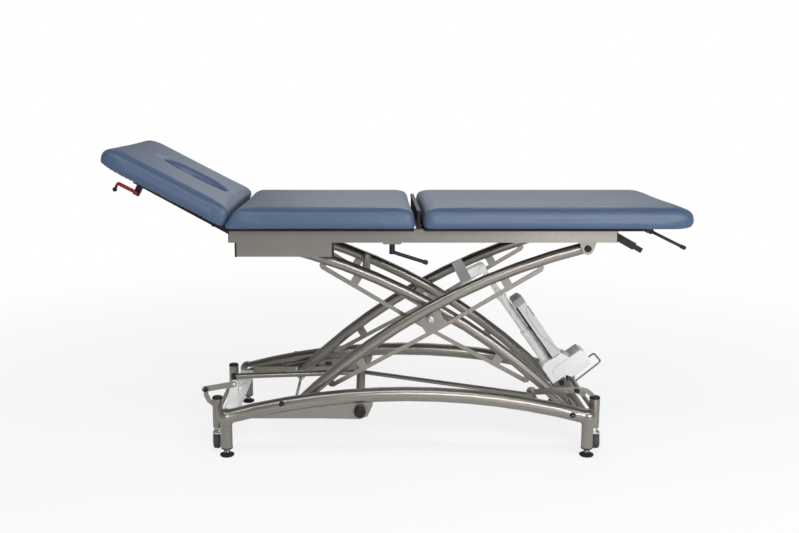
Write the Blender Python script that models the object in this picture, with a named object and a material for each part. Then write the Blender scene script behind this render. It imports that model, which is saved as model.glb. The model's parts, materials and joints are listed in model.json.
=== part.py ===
"""Electric therapy couch: three padded sections on a scissor lift with an arched tube base.

Metres, +Z up, +X towards the leg end, +Y away from the operator's side.  The couch stands on
the floor at Z = 0 and its box is centred on X = Y = 0.  All pieces are drawn with the table
raised to its resting height and the head section tilted up.
"""
import math

import bmesh
import bpy
from mathutils import Matrix, Vector

# Clearances
FACE_GAP = 0.0003
RUNNING_GAP = 0.0004
SIDE_PLAY = 0.0025
WELD_DEPTH = 0.003
LAP = 0.001
CUT_REACH = 0.010
BORE_REACH = 0.030
PIN_PROUD = 0.002
PIN_END = 0.004
SMOOTH_ANGLE = math.radians(35)

# Padded top
TOP_WIDTH = 0.680
TABLE_HEIGHT = 0.875
CUSHION_THICKNESS = 0.069
BOARD_THICKNESS = 0.011
BOARD_INSET = 0.012
MID_LENGTH = 0.644
LEG_LENGTH = 0.896
HEAD_LENGTH = 0.447
SECTION_GAP = 0.020
HEAD_ANGLE = math.radians(27.6)
HEAD_CLEARANCE = 0.003
HEAD_SETBACK = 0.036
CUSHION_EDGE = 0.020
CUSHION_CROWN = 0.004
CUSHION_DRAW = 0.004
CUSHION_CORNER = 0.024
CUSHION_FOOT_INSET = 0.005
CUSHION_FOOT_RISE = 0.006
CUSHION_SIDE_INSET = 0.0005
CUSHION_DOME = ((0.030, 0.60), (0.075, 0.90), (0.130, 1.0))
HEAD_CORNER = 0.036
LEG_CORNER = 0.042
LEG_BOARD_END = 0.095
FACE_SLOT_LENGTH = 0.240
FACE_SLOT_WIDTH = 0.120
FACE_SLOT_PLACE = 0.190
FACE_SLOT_FLARE = 0.008
FACE_SLOT_ROLL = ((-0.016, 0.0), (-0.006, 0.35), (0.004, 1.0))
BOARD_SLOT_GROWTH = 0.006
LEAST_RADIUS = 0.006
CORNER_STEPS = 4
SIDE_STEPS = 4
SLOT_SIDES = 28
HEAD_SKIRT = 0.010
HEAD_BOARD_MARGIN = 0.014
BOARD_END_INSET = 0.006

# Top frame
RAIL_HEIGHT = 0.045
RAIL_WIDTH = 0.030
RAIL_WALL = 0.002
RAIL_LENGTH = 1.310
RAIL_LEFT = -0.566
RAIL_INSET = 0.0595
CROSS_RAIL_HEIGHT = 0.024
CROSS_RAIL_WIDTH = 0.030
CROSS_RAIL_PLACES = (-0.200, 0.300, 0.700)
CROSS_RAIL_DROP = 0.007
TRACK_INSET = 0.021
TRACK_LENGTH = 0.329
TRACK_DEPTH = 0.040
TRACK_WALL = 0.003
BRACKET_THICKNESS = 0.010
BRACKET_HALF = 0.030
BRACKET_RADIUS = 0.021

# Scissor lift
BASE_PIVOT_INSET = 0.058
BASE_PIVOT_Z = 0.144
PIVOT_DROP = 0.0242
ARM_HALF = 0.5856
ARM_DROP = 0.0445
ARM_RISE = 0.036
ARM_DIAMETER = 0.040
OUTER_ARM_INSET = 0.0225
ARM_SPACING = 0.050
ARM_STEPS = 10
ARM_PLATE = 0.006
STRIP_WIDTH = 0.012
STRIP_DROP = 0.044
STRIP_REACH = 0.428
STRIP_FLAT = 0.040
STRIP_TOE = 0.012
STRIP_TOE_RISE = 0.006
STRIP_END_RISE = 0.014
PLATE_SINK = 0.008
PLATE_STEPS = 7
HOLE_SINK = 0.016
HOLE_RISE = 0.010
HOLE_END = 0.022
WEB_PLACE = 0.290
WEB_WIDTH = 0.030
LOBE_WIDTH = 0.080
EYE_WIDTH = 0.018
EYE_RADIUS = 0.016
PIN_DIAMETER = 0.016
PIN_HEAD_DIAMETER = 0.026
PIN_HEAD = 0.006
PIN_EDGE = 0.002
PIVOT_BOLT = 0.022
HEAD_BOLT = 0.020
CROSS_TUBE_DIAMETER = 0.030
INNER_CROSS_PLACE = -0.270
OUTER_CROSS_PLACE = 0.172
OUTER_CROSS_SIZE = 0.040

# Base
BASE_TUBE = 0.050
BASE_INSET = 0.040
BASE_LEFT = -0.589
BASE_RIGHT = 0.666
BASE_CORNER_Z = 0.141
BASE_ARCH = 0.083
BASE_POST = 0.040
BASE_POST_BOTTOM = 0.030
CORNER_BALL = 0.056
BALL_TURNS = (25, 50, 75, 100)
POST_NECK = 0.0224
CROSS_DROP = 0.010
CROSS_STUB = 0.036
STUB_REACH = 0.006
CROSS_BAR_LEFT = 0.022
CROSS_BAR_RIGHT = 0.028
CROSS_BAR_HEIGHT = 0.024
CROSS_SLOT_WIDTH = 0.018
CROSS_SLOT_LENGTH = 0.240
RIGHT_TUBE_DIAMETER = 0.034
MOUNT_PLATE = 0.006
MOUNT_HALF = 0.014
MOUNT_FRONT = 0.010
MOUNT_BACK = 0.030
MOUNT_EYE = 0.020
PIVOT_BOSS = 0.028
BOSS_CLEARANCE = 0.007
PAD_DIAMETER = 0.050
PAD_HEIGHT = 0.012
PAD_EDGE = 0.003
PAD_SIDE = 0.007
STUD_DIAMETER = 0.012
NUT_DIAMETER = 0.022
NUT_HEIGHT = 0.006
GUSSET_LENGTH = 0.374
GUSSET_THICKNESS = 0.006
GUSSET_REACH = 0.028
GUSSET_DROP = 0.013
GUSSET_TOE = (0.015, 0.006)
GUSSET_HEEL = (0.018, 0.010)
GUSSET_HEEL_RISE = 0.022
ROCKER_X = -0.125
ROCKER_Z = 0.164
ROCKER_DIAMETER = 0.034
ROCKER_INSET = 0.007
ROCKER_CAP = 0.040
ROCKER_CAP_SIDE = 0.005
ROCKER_CAP_EDGE = 0.004
SLIDE_INSET = 0.033
SLIDE_LENGTH = 0.311
SLIDE_DEPTH = 0.020
SLIDE_HEIGHT = 0.036
SLIDE_WALL = 0.003
SLIDE_AXLE = 0.011
AXLE_DROP = 0.013
SHOE_HALF = 0.025
SHOE_PLAY = 0.0006
SHOE_INSET = 0.001
SHOE_BACK = 0.0007
SHOE_PIN = 0.004
AXLE_BLOCK_HALF = 0.009
AXLE_BLOCK_DROP = 0.008
AXLE_BLOCK_RISE = 0.004
SLIDE_BRACKET = 0.024
SLIDE_BRACKET_INSET = 0.040
SLIDE_BRACKET_DROP = 0.005
CAP_INSETS = (0.196, 0.058)
CAP_DIAMETER = 0.018
CAP_SINK = 0.002
CAP_SIDE = 0.005
CAP_EDGE = 0.003

# Foot rocker bars
LEFT_BAR_DIAMETER = 0.022
LEFT_BAR_OVERRUN = 0.031
LEFT_BAR_Y = 0.113
RIGHT_BAR_DIAMETER = 0.017
RIGHT_BAR_INSET = 0.167
RIGHT_BAR_Y = -0.127
BAR_ROOT_Y = 0.174
BAR_CAP_WALL = 0.0005
BAR_CAP_SIDES = (-0.004, 0.003, 0.006)

# Actuator
ACTUATOR_FOOT_INSET = 0.039
ACTUATOR_FOOT_Z = 0.180
ACTUATOR_HEAD_ALONG = 0.2426
ACTUATOR_HEAD_ABOVE = 0.0247
ROD_DIAMETER = 0.030
OUTER_TUBE_DIAMETER = 0.037
LUG_THICKNESS = 0.030
MOTOR_REACH = 0.136
MOTOR_HEIGHT = 0.0705
MOTOR_WIDTH = 0.084
GEAR_HALF = 0.028
GEAR_TOP = 0.104
BORE_FLOOR = 0.030
TUBE_MOUTH = 0.240
ROD_INNER_END = 0.184
ROD_OUTER_END = 0.398
CONTROL_LENGTH = 0.262
CONTROL_DEPTH = 0.042
CONTROL_WIDTH = 0.092
COLLAR_DIAMETER = 0.036
COLLAR_LENGTH = 0.011
CLEVIS_HALF = 0.011
CLEVIS_BOLT_PLACE = 0.432
CLEVIS_BOLT = 0.014
MOTOR_BEVEL = 0.012
FOOT_PIN = 0.012
LUG_RADIUS = 0.016
MOTOR_FLOOR = 0.0215
MOTOR_LOW = 0.002
MOTOR_SHOULDER = 0.045
GEAR_SIDE = 0.030
GEAR_TOP_SIDE = 0.060
MOTOR_SADDLE = 0.078
CONTROL_BROW = (0.008, 0.014)
CONTROL_EDGE = 0.005

# Castors
CASTOR_OFFSET = 0.043
CASTOR_INSET = 0.090
CASTOR_POST = 0.037
CASTOR_POST_LOW = 0.074
CASTOR_POST_TOP = 0.180
WHEEL_DIAMETER = 0.052
WHEEL_WIDTH = 0.022
WHEEL_FLOOR_GAP = 0.005
WHEEL_TRAIL = 0.028
CASTOR_CAP = 0.006
CASTOR_CAP_EDGE = 0.002
CASTOR_ROD = 0.016
CASTOR_ROD_Z = 0.130
FORK_PLAY = 0.0015
FORK_PLATE = 0.003
FORK_CROWN = 0.030
FORK_TIP = 0.009
BRIDGE_FRONT = 0.008
BRIDGE_BACK = 0.004
BRIDGE_THICKNESS = 0.005
TYRE_EDGE = 0.003
TYRE_SHOULDER = 0.004
AXLE_DIAMETER = 0.008

# Head section mechanism
HEAD_HINGE_INSET = 0.010
HEAD_HINGE_DROP = 0.015
HEAD_BAR_WIDTH = 0.025
HEAD_BAR_HEIGHT = 0.020
HEAD_BAR_LENGTH = 0.375
HEAD_PIN_DIAMETER = 0.012
HEAD_BAR_PLAY = 0.0035
HEAD_NECK = (0.022, 0.030)
HEAD_EYE_RADIUS = 0.014
HEAD_CROSS_REACHES = (0.080, 0.3625)
HEAD_SPRING_MOUTH = 0.300
HEAD_ROD_START = 0.240
HEAD_SPRING_FLOOR = 0.150
HEAD_SPRING_REACH = 0.090
HEAD_SPRING_DROP = 0.050
HEAD_SPRING_FOOT_DROP = 0.0284
RELEASE_PIVOT_REACH = 0.356
RELEASE_PIVOT_DROP = 0.036
RELEASE_Y = -0.200
RELEASE_LENGTH = 0.068
RELEASE_KNOB = 0.014
RELEASE_BLOCK = 0.020
RELEASE_WIDTH = 0.024
RELEASE_THICKNESS = 0.005
RELEASE_HALF = 0.006
RELEASE_HOOK = 0.020
RELEASE_HOOK_SIDE = 0.0024
RELEASE_PIN = 0.008
RELEASE_WELD = 0.006
BALL_RINGS = (25, 60, 95, 130, 160)

# Leg section mechanism
LEG_HINGE_RISE = 0.0556
LEG_BAR_THICKNESS = 0.012
LEG_STRIP_WIDTH = 0.030
LEG_STRIP_THICKNESS = 0.006
LEG_STRIP_Y = 0.205
LEG_PIN_DIAMETER = 0.010
LEG_PIN_LENGTH = 0.018
LEG_POST_HALF = 0.005
LEG_POST_RISE = 0.003
LEG_STRIP_END = 0.020
LEG_SPRING_MOUTH = 0.165
LEG_ROD_START = 0.034
LEG_SPRING_FLOOR = 0.030
LEG_HANDLE_BLOCK = 0.016
LEG_HANDLE_PIN = 0.006
LEG_HANDLE_HUB = 0.020
LEG_HANDLE_GRIP = 0.0015
LEG_HANDLE_TIP = (-0.014, 0.001, 0.004)
LEG_SPRING_Y = 0.120
LEG_SPRING_FOOT_DROP = 0.0394
LEG_SPRING_REACH = 0.020
LEG_SPRING_DROP = 0.130
LEG_HANDLE_INSET = 0.1157
LEG_HANDLE_Y = -0.250
LEG_HANDLE_RUN = 0.118
LEG_HANDLE_FALL = 0.058
LEG_HANDLE_DROP = 0.010
LEG_HANDLE_DIAMETER = 0.011

# Gas springs
GAS_CYLINDER = 0.022
GAS_ROD = 0.010
GAS_EYE = 0.020
GAS_EYE_WIDTH = 0.014
GAS_PIN = 0.008
GAS_PLATE = 0.005
GAS_NECK = 0.022
GAS_BOLT = 0.014
EAR_PLAY = 0.0015
EAR_RADIUS = 0.011
EAR_ROOT = 0.010
EAR_WELD = 0.006
SPRING_FOOT_REACH = 0.045
GAS_STEM = 0.009
GAS_STEM_START = 0.006
GAS_BOLT_HEAD = 0.004

# Lock lever and grip bar
LOCK_X = -0.015
LOCK_INSET = 0.0095
LOCK_FLANGE_WIDTH = 0.018
LOCK_STUB = 0.020
LOCK_FALL = 0.034
LOCK_RUN = 0.117
LOCK_DROP = 0.037
LOCK_DIAMETER = 0.013
LOCK_FLANGE = 0.062
LOCK_PLATE = 0.005
LOCK_TIP = 0.016
LOCK_TIP_SIDES = (-0.010, 0.002, 0.005)
GRIP_INSET = 0.0255
GRIP_STEP = 0.004
GRIP_RUN = 0.098
GRIP_FALL = 0.055
GRIP_DROP = 0.012
GRIP_SIZE = 0.026
GRIP_WIDTH = 0.026
GRIP_TIP = 0.030

# Castor levers
LEVER_OFFSET = 0.0095
LEVER_THICKNESS = 0.005
LEFT_BOLT_PLACE = (-0.085, 0.210)
LEFT_PIVOT_PLACE = (0.016, 0.228)
RIGHT_BOLT_PLACE = (-0.021, 0.207)
RIGHT_PIVOT_PLACE = (-0.181, 0.200)
PEDAL_SHAFT_PLACE = (0.002, 0.194)
PEDAL_END_PLACE = (0.096, 0.272)
LEVER_FOOT = 0.044
LEVER_FOOT_INSET = 0.002
LEVER_EYE_WALL = 0.003
LEVER_BOSS = 0.016
LEVER_PIN = 0.010
LEVER_HALF = 0.010
LEVER_HEAD = 0.018
LEFT_SLOT = 0.005
SLOT_PLAY = 0.0013
BOLT_PLAY = 0.001
STRAP_HALF = 0.008
STRAP_THICKNESS = 0.006
STRAP_EYE_WALL = 0.001
LEFT_STRAP = ((0, 0), (0.001, -0.020), (0.010, -0.040), (0.024, -0.052), (0.042, -0.058))
RIGHT_STRAP = ((0, 0), (0.018, 0.004), (0.036, -0.001), (0.052, -0.014), (0.062, -0.034), (0.062, -0.050))
PEDAL_OVERRUN = 0.008
PEDAL_BEND = 0.014
PEDAL_SHAFT_DIAMETER = 0.012
PEDAL_WIRE = 0.007
PEDAL_HALF_WIDTH = 0.0575

# Derived places
CUSHION_LOW = TABLE_HEIGHT - CUSHION_THICKNESS
BOARD_LOW = CUSHION_LOW - FACE_GAP - BOARD_THICKNESS
RAIL_TOP = BOARD_LOW - FACE_GAP
RAIL_BOTTOM = RAIL_TOP - RAIL_HEIGHT
HALF_WIDTH = TOP_WIDTH / 2
RAIL_OUTSIDE = HALF_WIDTH - RAIL_INSET
RAIL_INSIDE = RAIL_OUTSIDE - RAIL_WIDTH
RAIL_RIGHT = RAIL_LEFT + RAIL_LENGTH
TRACK_LEFT = RAIL_LEFT + TRACK_INSET
TRACK_RIGHT = TRACK_LEFT + TRACK_LENGTH
HEAD_HINGE = Vector((RAIL_LEFT + HEAD_HINGE_INSET, 0.0, RAIL_TOP - HEAD_HINGE_DROP))


def head_end_x(height):
    """X of the raised head cushion's inner end at a height, plus the clearance to the seat."""
    rise = height - HEAD_HINGE.z - HEAD_SETBACK * math.sin(HEAD_ANGLE)
    run = rise * math.tan(HEAD_ANGLE) - HEAD_SETBACK * math.cos(HEAD_ANGLE)
    return HEAD_HINGE.x + run + HEAD_CLEARANCE / math.cos(HEAD_ANGLE)


MID_LEFT = head_end_x(CUSHION_LOW)
MID_SLANT = head_end_x(TABLE_HEIGHT) - MID_LEFT
MID_RIGHT = MID_LEFT + MID_LENGTH
LEG_LEFT = MID_RIGHT + SECTION_GAP
LEG_RIGHT = LEG_LEFT + LEG_LENGTH
LEG_HINGE = Vector((MID_RIGHT + SECTION_GAP / 2, 0.0, RAIL_TOP + LEG_HINGE_RISE))
HEAD_RIGHT = HEAD_HINGE.x - HEAD_SETBACK
HEAD_LEFT = HEAD_RIGHT - HEAD_LENGTH

ARM_RADIUS = ARM_DIAMETER / 2
OUTER_ARM_Y = RAIL_INSIDE - OUTER_ARM_INSET
INNER_ARM_Y = OUTER_ARM_Y - ARM_SPACING
ARM_ANGLE = math.asin((RAIL_BOTTOM - PIVOT_DROP - BASE_PIVOT_Z) / (2 * ARM_HALF))
ARM_SAG = ARM_RISE + ARM_DROP
ARM_ARC = (ARM_HALF ** 2 + ARM_SAG ** 2) / (2 * ARM_SAG)
BASE_PIVOT = Vector((BASE_RIGHT - BASE_PIVOT_INSET, 0.0, BASE_PIVOT_Z))
ARM_RUN = ARM_HALF * math.cos(ARM_ANGLE) - ARM_DROP * math.sin(ARM_ANGLE)
ARM_LIFT = ARM_HALF * math.sin(ARM_ANGLE) + ARM_DROP * math.cos(ARM_ANGLE)
CENTRE_PIVOT = BASE_PIVOT + Vector((-ARM_RUN, 0.0, ARM_LIFT))


def arm_point(along, above, rising):
    """A point of an arm, measured along it and above its centre pivot; rising arms climb to +X."""
    slope = ARM_ANGLE if rising else -ARM_ANGLE
    run = along * math.cos(slope) - above * math.sin(slope)
    lift = along * math.sin(slope) + above * math.cos(slope)
    return CENTRE_PIVOT + Vector((run, 0.0, lift))


def arm_axis(along):
    """Height of the arched arm tube's axis above the centre pivot."""
    return ARM_RISE - ARM_ARC + math.sqrt(ARM_ARC ** 2 - along ** 2)


TOP_PIVOT = arm_point(ARM_HALF, -ARM_DROP, True)
BASE_SLIDE = arm_point(-ARM_HALF, -ARM_DROP, True)
TOP_SLIDE = arm_point(-ARM_HALF, -ARM_DROP, False)
TRACK_TOP = RAIL_BOTTOM - FACE_GAP
TRACK_HALF = TRACK_TOP - TOP_SLIDE.z
TRACK_INSIDE = RAIL_OUTSIDE - TRACK_DEPTH

BASE_HALF_SPREAD = HALF_WIDTH - BASE_INSET
BASE_MIDDLE = (BASE_LEFT + BASE_RIGHT) / 2
BASE_HALF = (BASE_RIGHT - BASE_LEFT) / 2
BASE_ARC = (BASE_HALF ** 2 + BASE_ARCH ** 2) / (2 * BASE_ARCH)
CROSS_Z = BASE_CORNER_Z - CROSS_DROP
STUB_END = BASE_HALF_SPREAD - CORNER_BALL / 2 - STUB_REACH
CROSS_HALF = STUB_END - FACE_GAP
BOSS_END = OUTER_ARM_Y - ARM_RADIUS - BOSS_CLEARANCE
SLIDE_OUTSIDE = BASE_HALF_SPREAD - BASE_TUBE / 2 - SIDE_PLAY
SLIDE_INSIDE = SLIDE_OUTSIDE - SLIDE_DEPTH
SLIDE_LEFT = BASE_LEFT + SLIDE_INSET
SLIDE_RIGHT = SLIDE_LEFT + SLIDE_LENGTH
CAP_PLACES = (BASE_LEFT + CAP_INSETS[0], BASE_RIGHT - CAP_INSETS[1])
LEFT_BAR_END = (BASE_LEFT - LEFT_BAR_OVERRUN, LEFT_BAR_Y)
RIGHT_BAR_END = (BASE_RIGHT - RIGHT_BAR_INSET, RIGHT_BAR_Y)

ACTUATOR_FOOT = Vector((BASE_RIGHT - ACTUATOR_FOOT_INSET, 0.0, ACTUATOR_FOOT_Z))
ACTUATOR_HEAD = arm_point(ACTUATOR_HEAD_ALONG, ACTUATOR_HEAD_ABOVE, True)
ACTUATOR_LINE = (ACTUATOR_HEAD - ACTUATOR_FOOT).normalized()
ACTUATOR_SIDE = Vector((ACTUATOR_LINE.z, 0.0, -ACTUATOR_LINE.x))
ACTUATOR_REACH = (ACTUATOR_HEAD - ACTUATOR_FOOT).length

HEAD_BAR_OUTSIDE = RAIL_INSIDE - HEAD_BAR_PLAY
HEAD_SPRING_HEAD = HEAD_HINGE + Vector((-HEAD_SPRING_REACH, 0.0, -HEAD_SPRING_DROP))
HEAD_SPRING_X = CROSS_RAIL_PLACES[0] - SPRING_FOOT_REACH
LEG_SPRING_X = CROSS_RAIL_PLACES[0] + SPRING_FOOT_REACH
HEAD_SPRING_FOOT = Vector((HEAD_SPRING_X, 0.0, RAIL_TOP - HEAD_SPRING_FOOT_DROP))
LEG_SPRING_FOOT = Vector((LEG_SPRING_X, LEG_SPRING_Y, RAIL_TOP - LEG_SPRING_FOOT_DROP))
LEG_SPRING_HEAD = LEG_HINGE + Vector((LEG_SPRING_REACH, LEG_SPRING_Y, -LEG_SPRING_DROP))
RELEASE_PIVOT = HEAD_HINGE + Vector((-RELEASE_PIVOT_REACH, RELEASE_Y, -RELEASE_PIVOT_DROP))
LEG_HANDLE_X = LEG_RIGHT - LEG_HANDLE_INSET
LEG_HANDLE_PIVOT = Vector((LEG_HANDLE_X, LEG_HANDLE_Y, BOARD_LOW - LEG_HANDLE_DROP))
LOCK_Y = LOCK_INSET - RAIL_OUTSIDE
GRIP_Y = GRIP_INSET - RAIL_INSIDE
LOCK_PIVOT = Vector((LOCK_X, LOCK_Y, RAIL_BOTTOM - FACE_GAP - LOCK_PLATE))
ROCKER_PIVOT = Vector((ROCKER_X, 0.0, ROCKER_Z))
WHEEL_Z = WHEEL_DIAMETER / 2 + WHEEL_FLOOR_GAP
CASTOR_X = {"left": BASE_LEFT - CASTOR_OFFSET, "right": BASE_RIGHT + CASTOR_OFFSET}
CASTOR_Y = BASE_HALF_SPREAD - CASTOR_INSET
CASTOR_SIDES = {"near": -CASTOR_Y, "far": CASTOR_Y}
LEVER_Y = LEVER_OFFSET - CASTOR_Y


def base_place(corner, place):
    """An (x, z) point given by its distance from a corner of the base and its height."""
    return corner + place[0], place[1]


LEFT_BOLT = base_place(BASE_LEFT, LEFT_BOLT_PLACE)
LEFT_LEVER_PIVOT = base_place(BASE_LEFT, LEFT_PIVOT_PLACE)
RIGHT_BOLT = base_place(BASE_RIGHT, RIGHT_BOLT_PLACE)
RIGHT_LEVER_PIVOT = base_place(BASE_RIGHT, RIGHT_PIVOT_PLACE)
PEDAL_SHAFT = base_place(BASE_RIGHT, PEDAL_SHAFT_PLACE)
PEDAL_END = base_place(BASE_RIGHT, PEDAL_END_PLACE)


def base_axis(x):
    """Height of the arched base tube's axis."""
    return BASE_CORNER_Z + BASE_ARCH - BASE_ARC + math.sqrt(BASE_ARC ** 2 - (x - BASE_MIDDLE) ** 2)


# Mesh helpers
def box(low, high):
    """A block between two corners."""
    shape = bmesh.new()
    bmesh.ops.create_cube(shape, size=1.0)
    low, high = Vector(low), Vector(high)
    for vert in shape.verts:
        vert.co = [lo + (part + 0.5) * (hi - lo) for part, lo, hi in zip(vert.co, low, high)]
    return shape


def prism(outline, low_y, high_y, holes=()):
    """A flat outline of (x, z) points, with holes, drawn out along Y."""
    shape = bmesh.new()
    edges = []
    for loop in (outline, *holes):
        verts = [shape.verts.new((x, low_y, z)) for x, z in loop]
        edges += [shape.edges.new((vert, verts[i - 1])) for i, vert in enumerate(verts)]
    bmesh.ops.triangle_fill(shape, use_beauty=True, edges=edges)
    grown = bmesh.ops.extrude_face_region(shape, geom=list(shape.faces))
    moved = [part for part in grown["geom"] if isinstance(part, bmesh.types.BMVert)]
    bmesh.ops.translate(shape, verts=moved, vec=(0.0, high_y - low_y, 0.0))
    bmesh.ops.recalc_face_normals(shape, faces=list(shape.faces))
    return shape


def loft(rings, closed=False):
    """A skin over rings of points, capped at both ends or closed into a hoop."""
    shape = bmesh.new()
    loops = [[shape.verts.new(point) for point in ring] for ring in rings]
    pairs = list(zip(loops, loops[1:]))
    if closed:
        pairs.append((loops[-1], loops[0]))
    for lower, upper in pairs:
        for i in range(len(lower)):
            shape.faces.new((lower[i - 1], lower[i], upper[i], upper[i - 1]))
    if not closed:
        shape.faces.new(loops[0])
        shape.faces.new(loops[-1])
    bmesh.ops.recalc_face_normals(shape, faces=list(shape.faces))
    return shape


def across(direction):
    """A unit vector square to a direction."""
    helper = Vector((0, 1, 0)) if abs(direction.y) < 0.9 else Vector((1, 0, 0))
    return direction.cross(helper).normalized()


def ring(centre, direction, radius, sides, side=None):
    """Points of a circle about a centre, square to a direction."""
    direction = Vector(direction).normalized()
    side = side or across(direction)
    top = direction.cross(side)
    turns = [2 * math.pi * (i + 0.5) / sides for i in range(sides)]
    return [Vector(centre) + radius * (math.cos(a) * side + math.sin(a) * top) for a in turns]


def rod(points, diameter, sides=12):
    """A round bar along a run of points; its rings follow the run without twisting."""
    points = [Vector(point) for point in points]
    last = len(points) - 1
    ways = [(points[min(i + 1, last)] - points[max(i - 1, 0)]).normalized() for i in range(last + 1)]
    side = across(ways[0])
    rings = []
    for point, way in zip(points, ways):
        side = (side - way * side.dot(way)).normalized()
        rings.append(ring(point, way, diameter / 2, sides, side))
    return loft(rings)


def turned(start, direction, profile, sides=12, hollow=False):
    """A turned piece: (radius, distance) points along a direction, closed on itself if hollow."""
    direction = Vector(direction).normalized()
    rings = [ring(Vector(start) + direction * far, direction, r, sides) for r, far in profile]
    return loft(rings, closed=hollow)


def pipe(start, direction, length, outer, inner, sides=16):
    """A straight tube given by its diameters."""
    profile = ((outer / 2, 0), (outer / 2, length), (inner / 2, length), (inner / 2, 0))
    return turned(start, direction, profile, sides, hollow=True)


def arc(centre, radius, first, last, count):
    """Points of a flat arc from one angle to another, both in degrees."""
    steps = [math.radians(first + (last - first) * i / count) for i in range(count + 1)]
    return [(centre[0] + radius * math.cos(a), centre[1] + radius * math.sin(a)) for a in steps]


def bend(points, radius, count=3):
    """A run of points with each inner corner rounded."""
    points = [Vector(point) for point in points]
    run = [points[0]]
    for before, corner, after in zip(points, points[1:], points[2:]):
        back = (before - corner).normalized()
        on = (after - corner).normalized()
        reach = radius / math.tan(back.angle(on) / 2)
        for i in range(count + 1):
            part = i / count
            start = corner + back * reach * (1 - part)
            end = corner + on * reach * part
            run.append(start.lerp(end, part))
    run.append(points[-1])
    return run


# Scene helpers
def clear_scene():
    """Removes everything that a new file starts with."""
    for obj in list(bpy.data.objects):
        bpy.data.objects.remove(obj, do_unlink=True)


def material(name, colour, roughness, metallic):
    """A plain material of one colour."""
    look = bpy.data.materials.new(name)
    look.use_nodes = True
    shader = look.node_tree.nodes["Principled BSDF"]
    shader.inputs["Base Color"].default_value = (*colour, 1.0)
    shader.inputs["Roughness"].default_value = roughness
    shader.inputs["Metallic"].default_value = metallic
    return look


LOOKS = {
    "frame": ((0.27, 0.25, 0.23), 0.38, 0.85),
    "zinc": ((0.62, 0.63, 0.64), 0.32, 1.0),
    "chrome": ((0.75, 0.75, 0.76), 0.15, 1.0),
    "black_metal": ((0.02, 0.02, 0.02), 0.45, 0.3),
    "black_plastic": ((0.015, 0.015, 0.016), 0.5, 0.0),
    "white_plastic": ((0.72, 0.73, 0.73), 0.42, 0.0),
    "red_plastic": ((0.45, 0.03, 0.02), 0.4, 0.0),
    "upholstery": ((0.13, 0.20, 0.32), 0.5, 0.0),
    "board": ((0.02, 0.02, 0.022), 0.7, 0.0),
    "rubber": ((0.03, 0.03, 0.032), 0.7, 0.0),
}
PLACES = {}
EMPTIES = {}


def joint(name, place, parent=None, turn=0.0):
    """An empty on a joint's axis that carries the pieces of one moving body."""
    empty = bpy.data.objects.new(name + "_joint", None)
    bpy.context.collection.objects.link(empty)
    PLACES[name] = Vector(place)
    EMPTIES[name] = empty
    empty.location = place
    if parent:
        empty.parent = EMPTIES[parent]
        empty.location = Vector(place) - PLACES[parent]
    empty.rotation_euler = (0.0, turn, 0.0)


def mesh_object(name, shape):
    """An object made from a finished shape."""
    mesh = bpy.data.meshes.new(name)
    shape.to_mesh(mesh)
    shape.free()
    obj = bpy.data.objects.new(name, mesh)
    bpy.context.collection.objects.link(obj)
    return obj


def combine(obj, others, operation):
    """Joins other solids to an object, or cuts them from it."""
    for other in others:
        change = obj.modifiers.new(operation.lower(), "BOOLEAN")
        change.operation = operation
        change.solver = "EXACT"
        change.object = other
    bpy.context.view_layer.update()
    graph = bpy.context.evaluated_depsgraph_get()
    result = bpy.data.meshes.new_from_object(obj.evaluated_get(graph))
    obj.modifiers.clear()
    obj.data = result
    for other in others:
        bpy.data.objects.remove(other, do_unlink=True)


def piece(name, body, look, solids, cuts=()):
    """One named sub-part on a body: its solids welded into one, less its cuts."""
    made = [mesh_object(name, solid) for solid in solids]
    obj = made[0]
    if len(made) > 1:
        combine(obj, made[1:], "UNION")
    if cuts:
        combine(obj, [mesh_object(name + "_cut", cut) for cut in cuts], "DIFFERENCE")
    obj.name = name
    obj.data.transform(Matrix.Translation(-PLACES[body]))
    obj.data.materials.clear()
    obj.data.materials.append(MATERIALS[look])
    obj.data.shade_smooth()
    obj.data.set_sharp_from_angle(angle=SMOOTH_ANGLE)
    obj.parent = EMPTIES[body]


def span(side, inner, outer):
    """Low and high Y of a piece that lies between two distances from the middle on one side."""
    return sorted((side * inner, side * outer))


# Base
def arch_points(count=12):
    steps = [BASE_LEFT + (BASE_RIGHT - BASE_LEFT) * i / count for i in range(count + 1)]
    return [(x, base_axis(x)) for x in steps]


def corner_post(x, y):
    """A post under a round corner, turned from the top of the ball to the foot of the post."""
    ball = CORNER_BALL / 2
    turns = [math.radians(turn) for turn in BALL_TURNS]
    dome = [(ball * math.sin(a), BASE_CORNER_Z + ball * math.cos(a)) for a in turns]
    neck = ((BASE_POST / 2, BASE_CORNER_Z - POST_NECK), (BASE_POST / 2, BASE_POST_BOTTOM))
    return turned((x, y, 0), (0, 0, 1), (*dome, *neck), 14)


def gusset(y):
    """The plate under the base tube that holds the foot rocker's cross tube."""
    right = ROCKER_X + ROCKER_DIAMETER / 2 + GUSSET_REACH
    left = right - GUSSET_LENGTH
    middle = (left + right) / 2
    low = ROCKER_Z - ROCKER_DIAMETER / 2 - GUSSET_DROP
    outline = [(left, base_axis(left) - BASE_TUBE / 2 + WELD_DEPTH)]
    outline += [(left + GUSSET_TOE[0], low + GUSSET_TOE[1]), (ROCKER_X, low)]
    outline += [(right - GUSSET_HEEL[0], low + GUSSET_HEEL[1]), (right, ROCKER_Z + GUSSET_HEEL_RISE)]
    outline += [(right, base_axis(right)), (middle, base_axis(middle))]
    return prism(outline, y - GUSSET_THICKNESS / 2, y + GUSSET_THICKNESS / 2)


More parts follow.
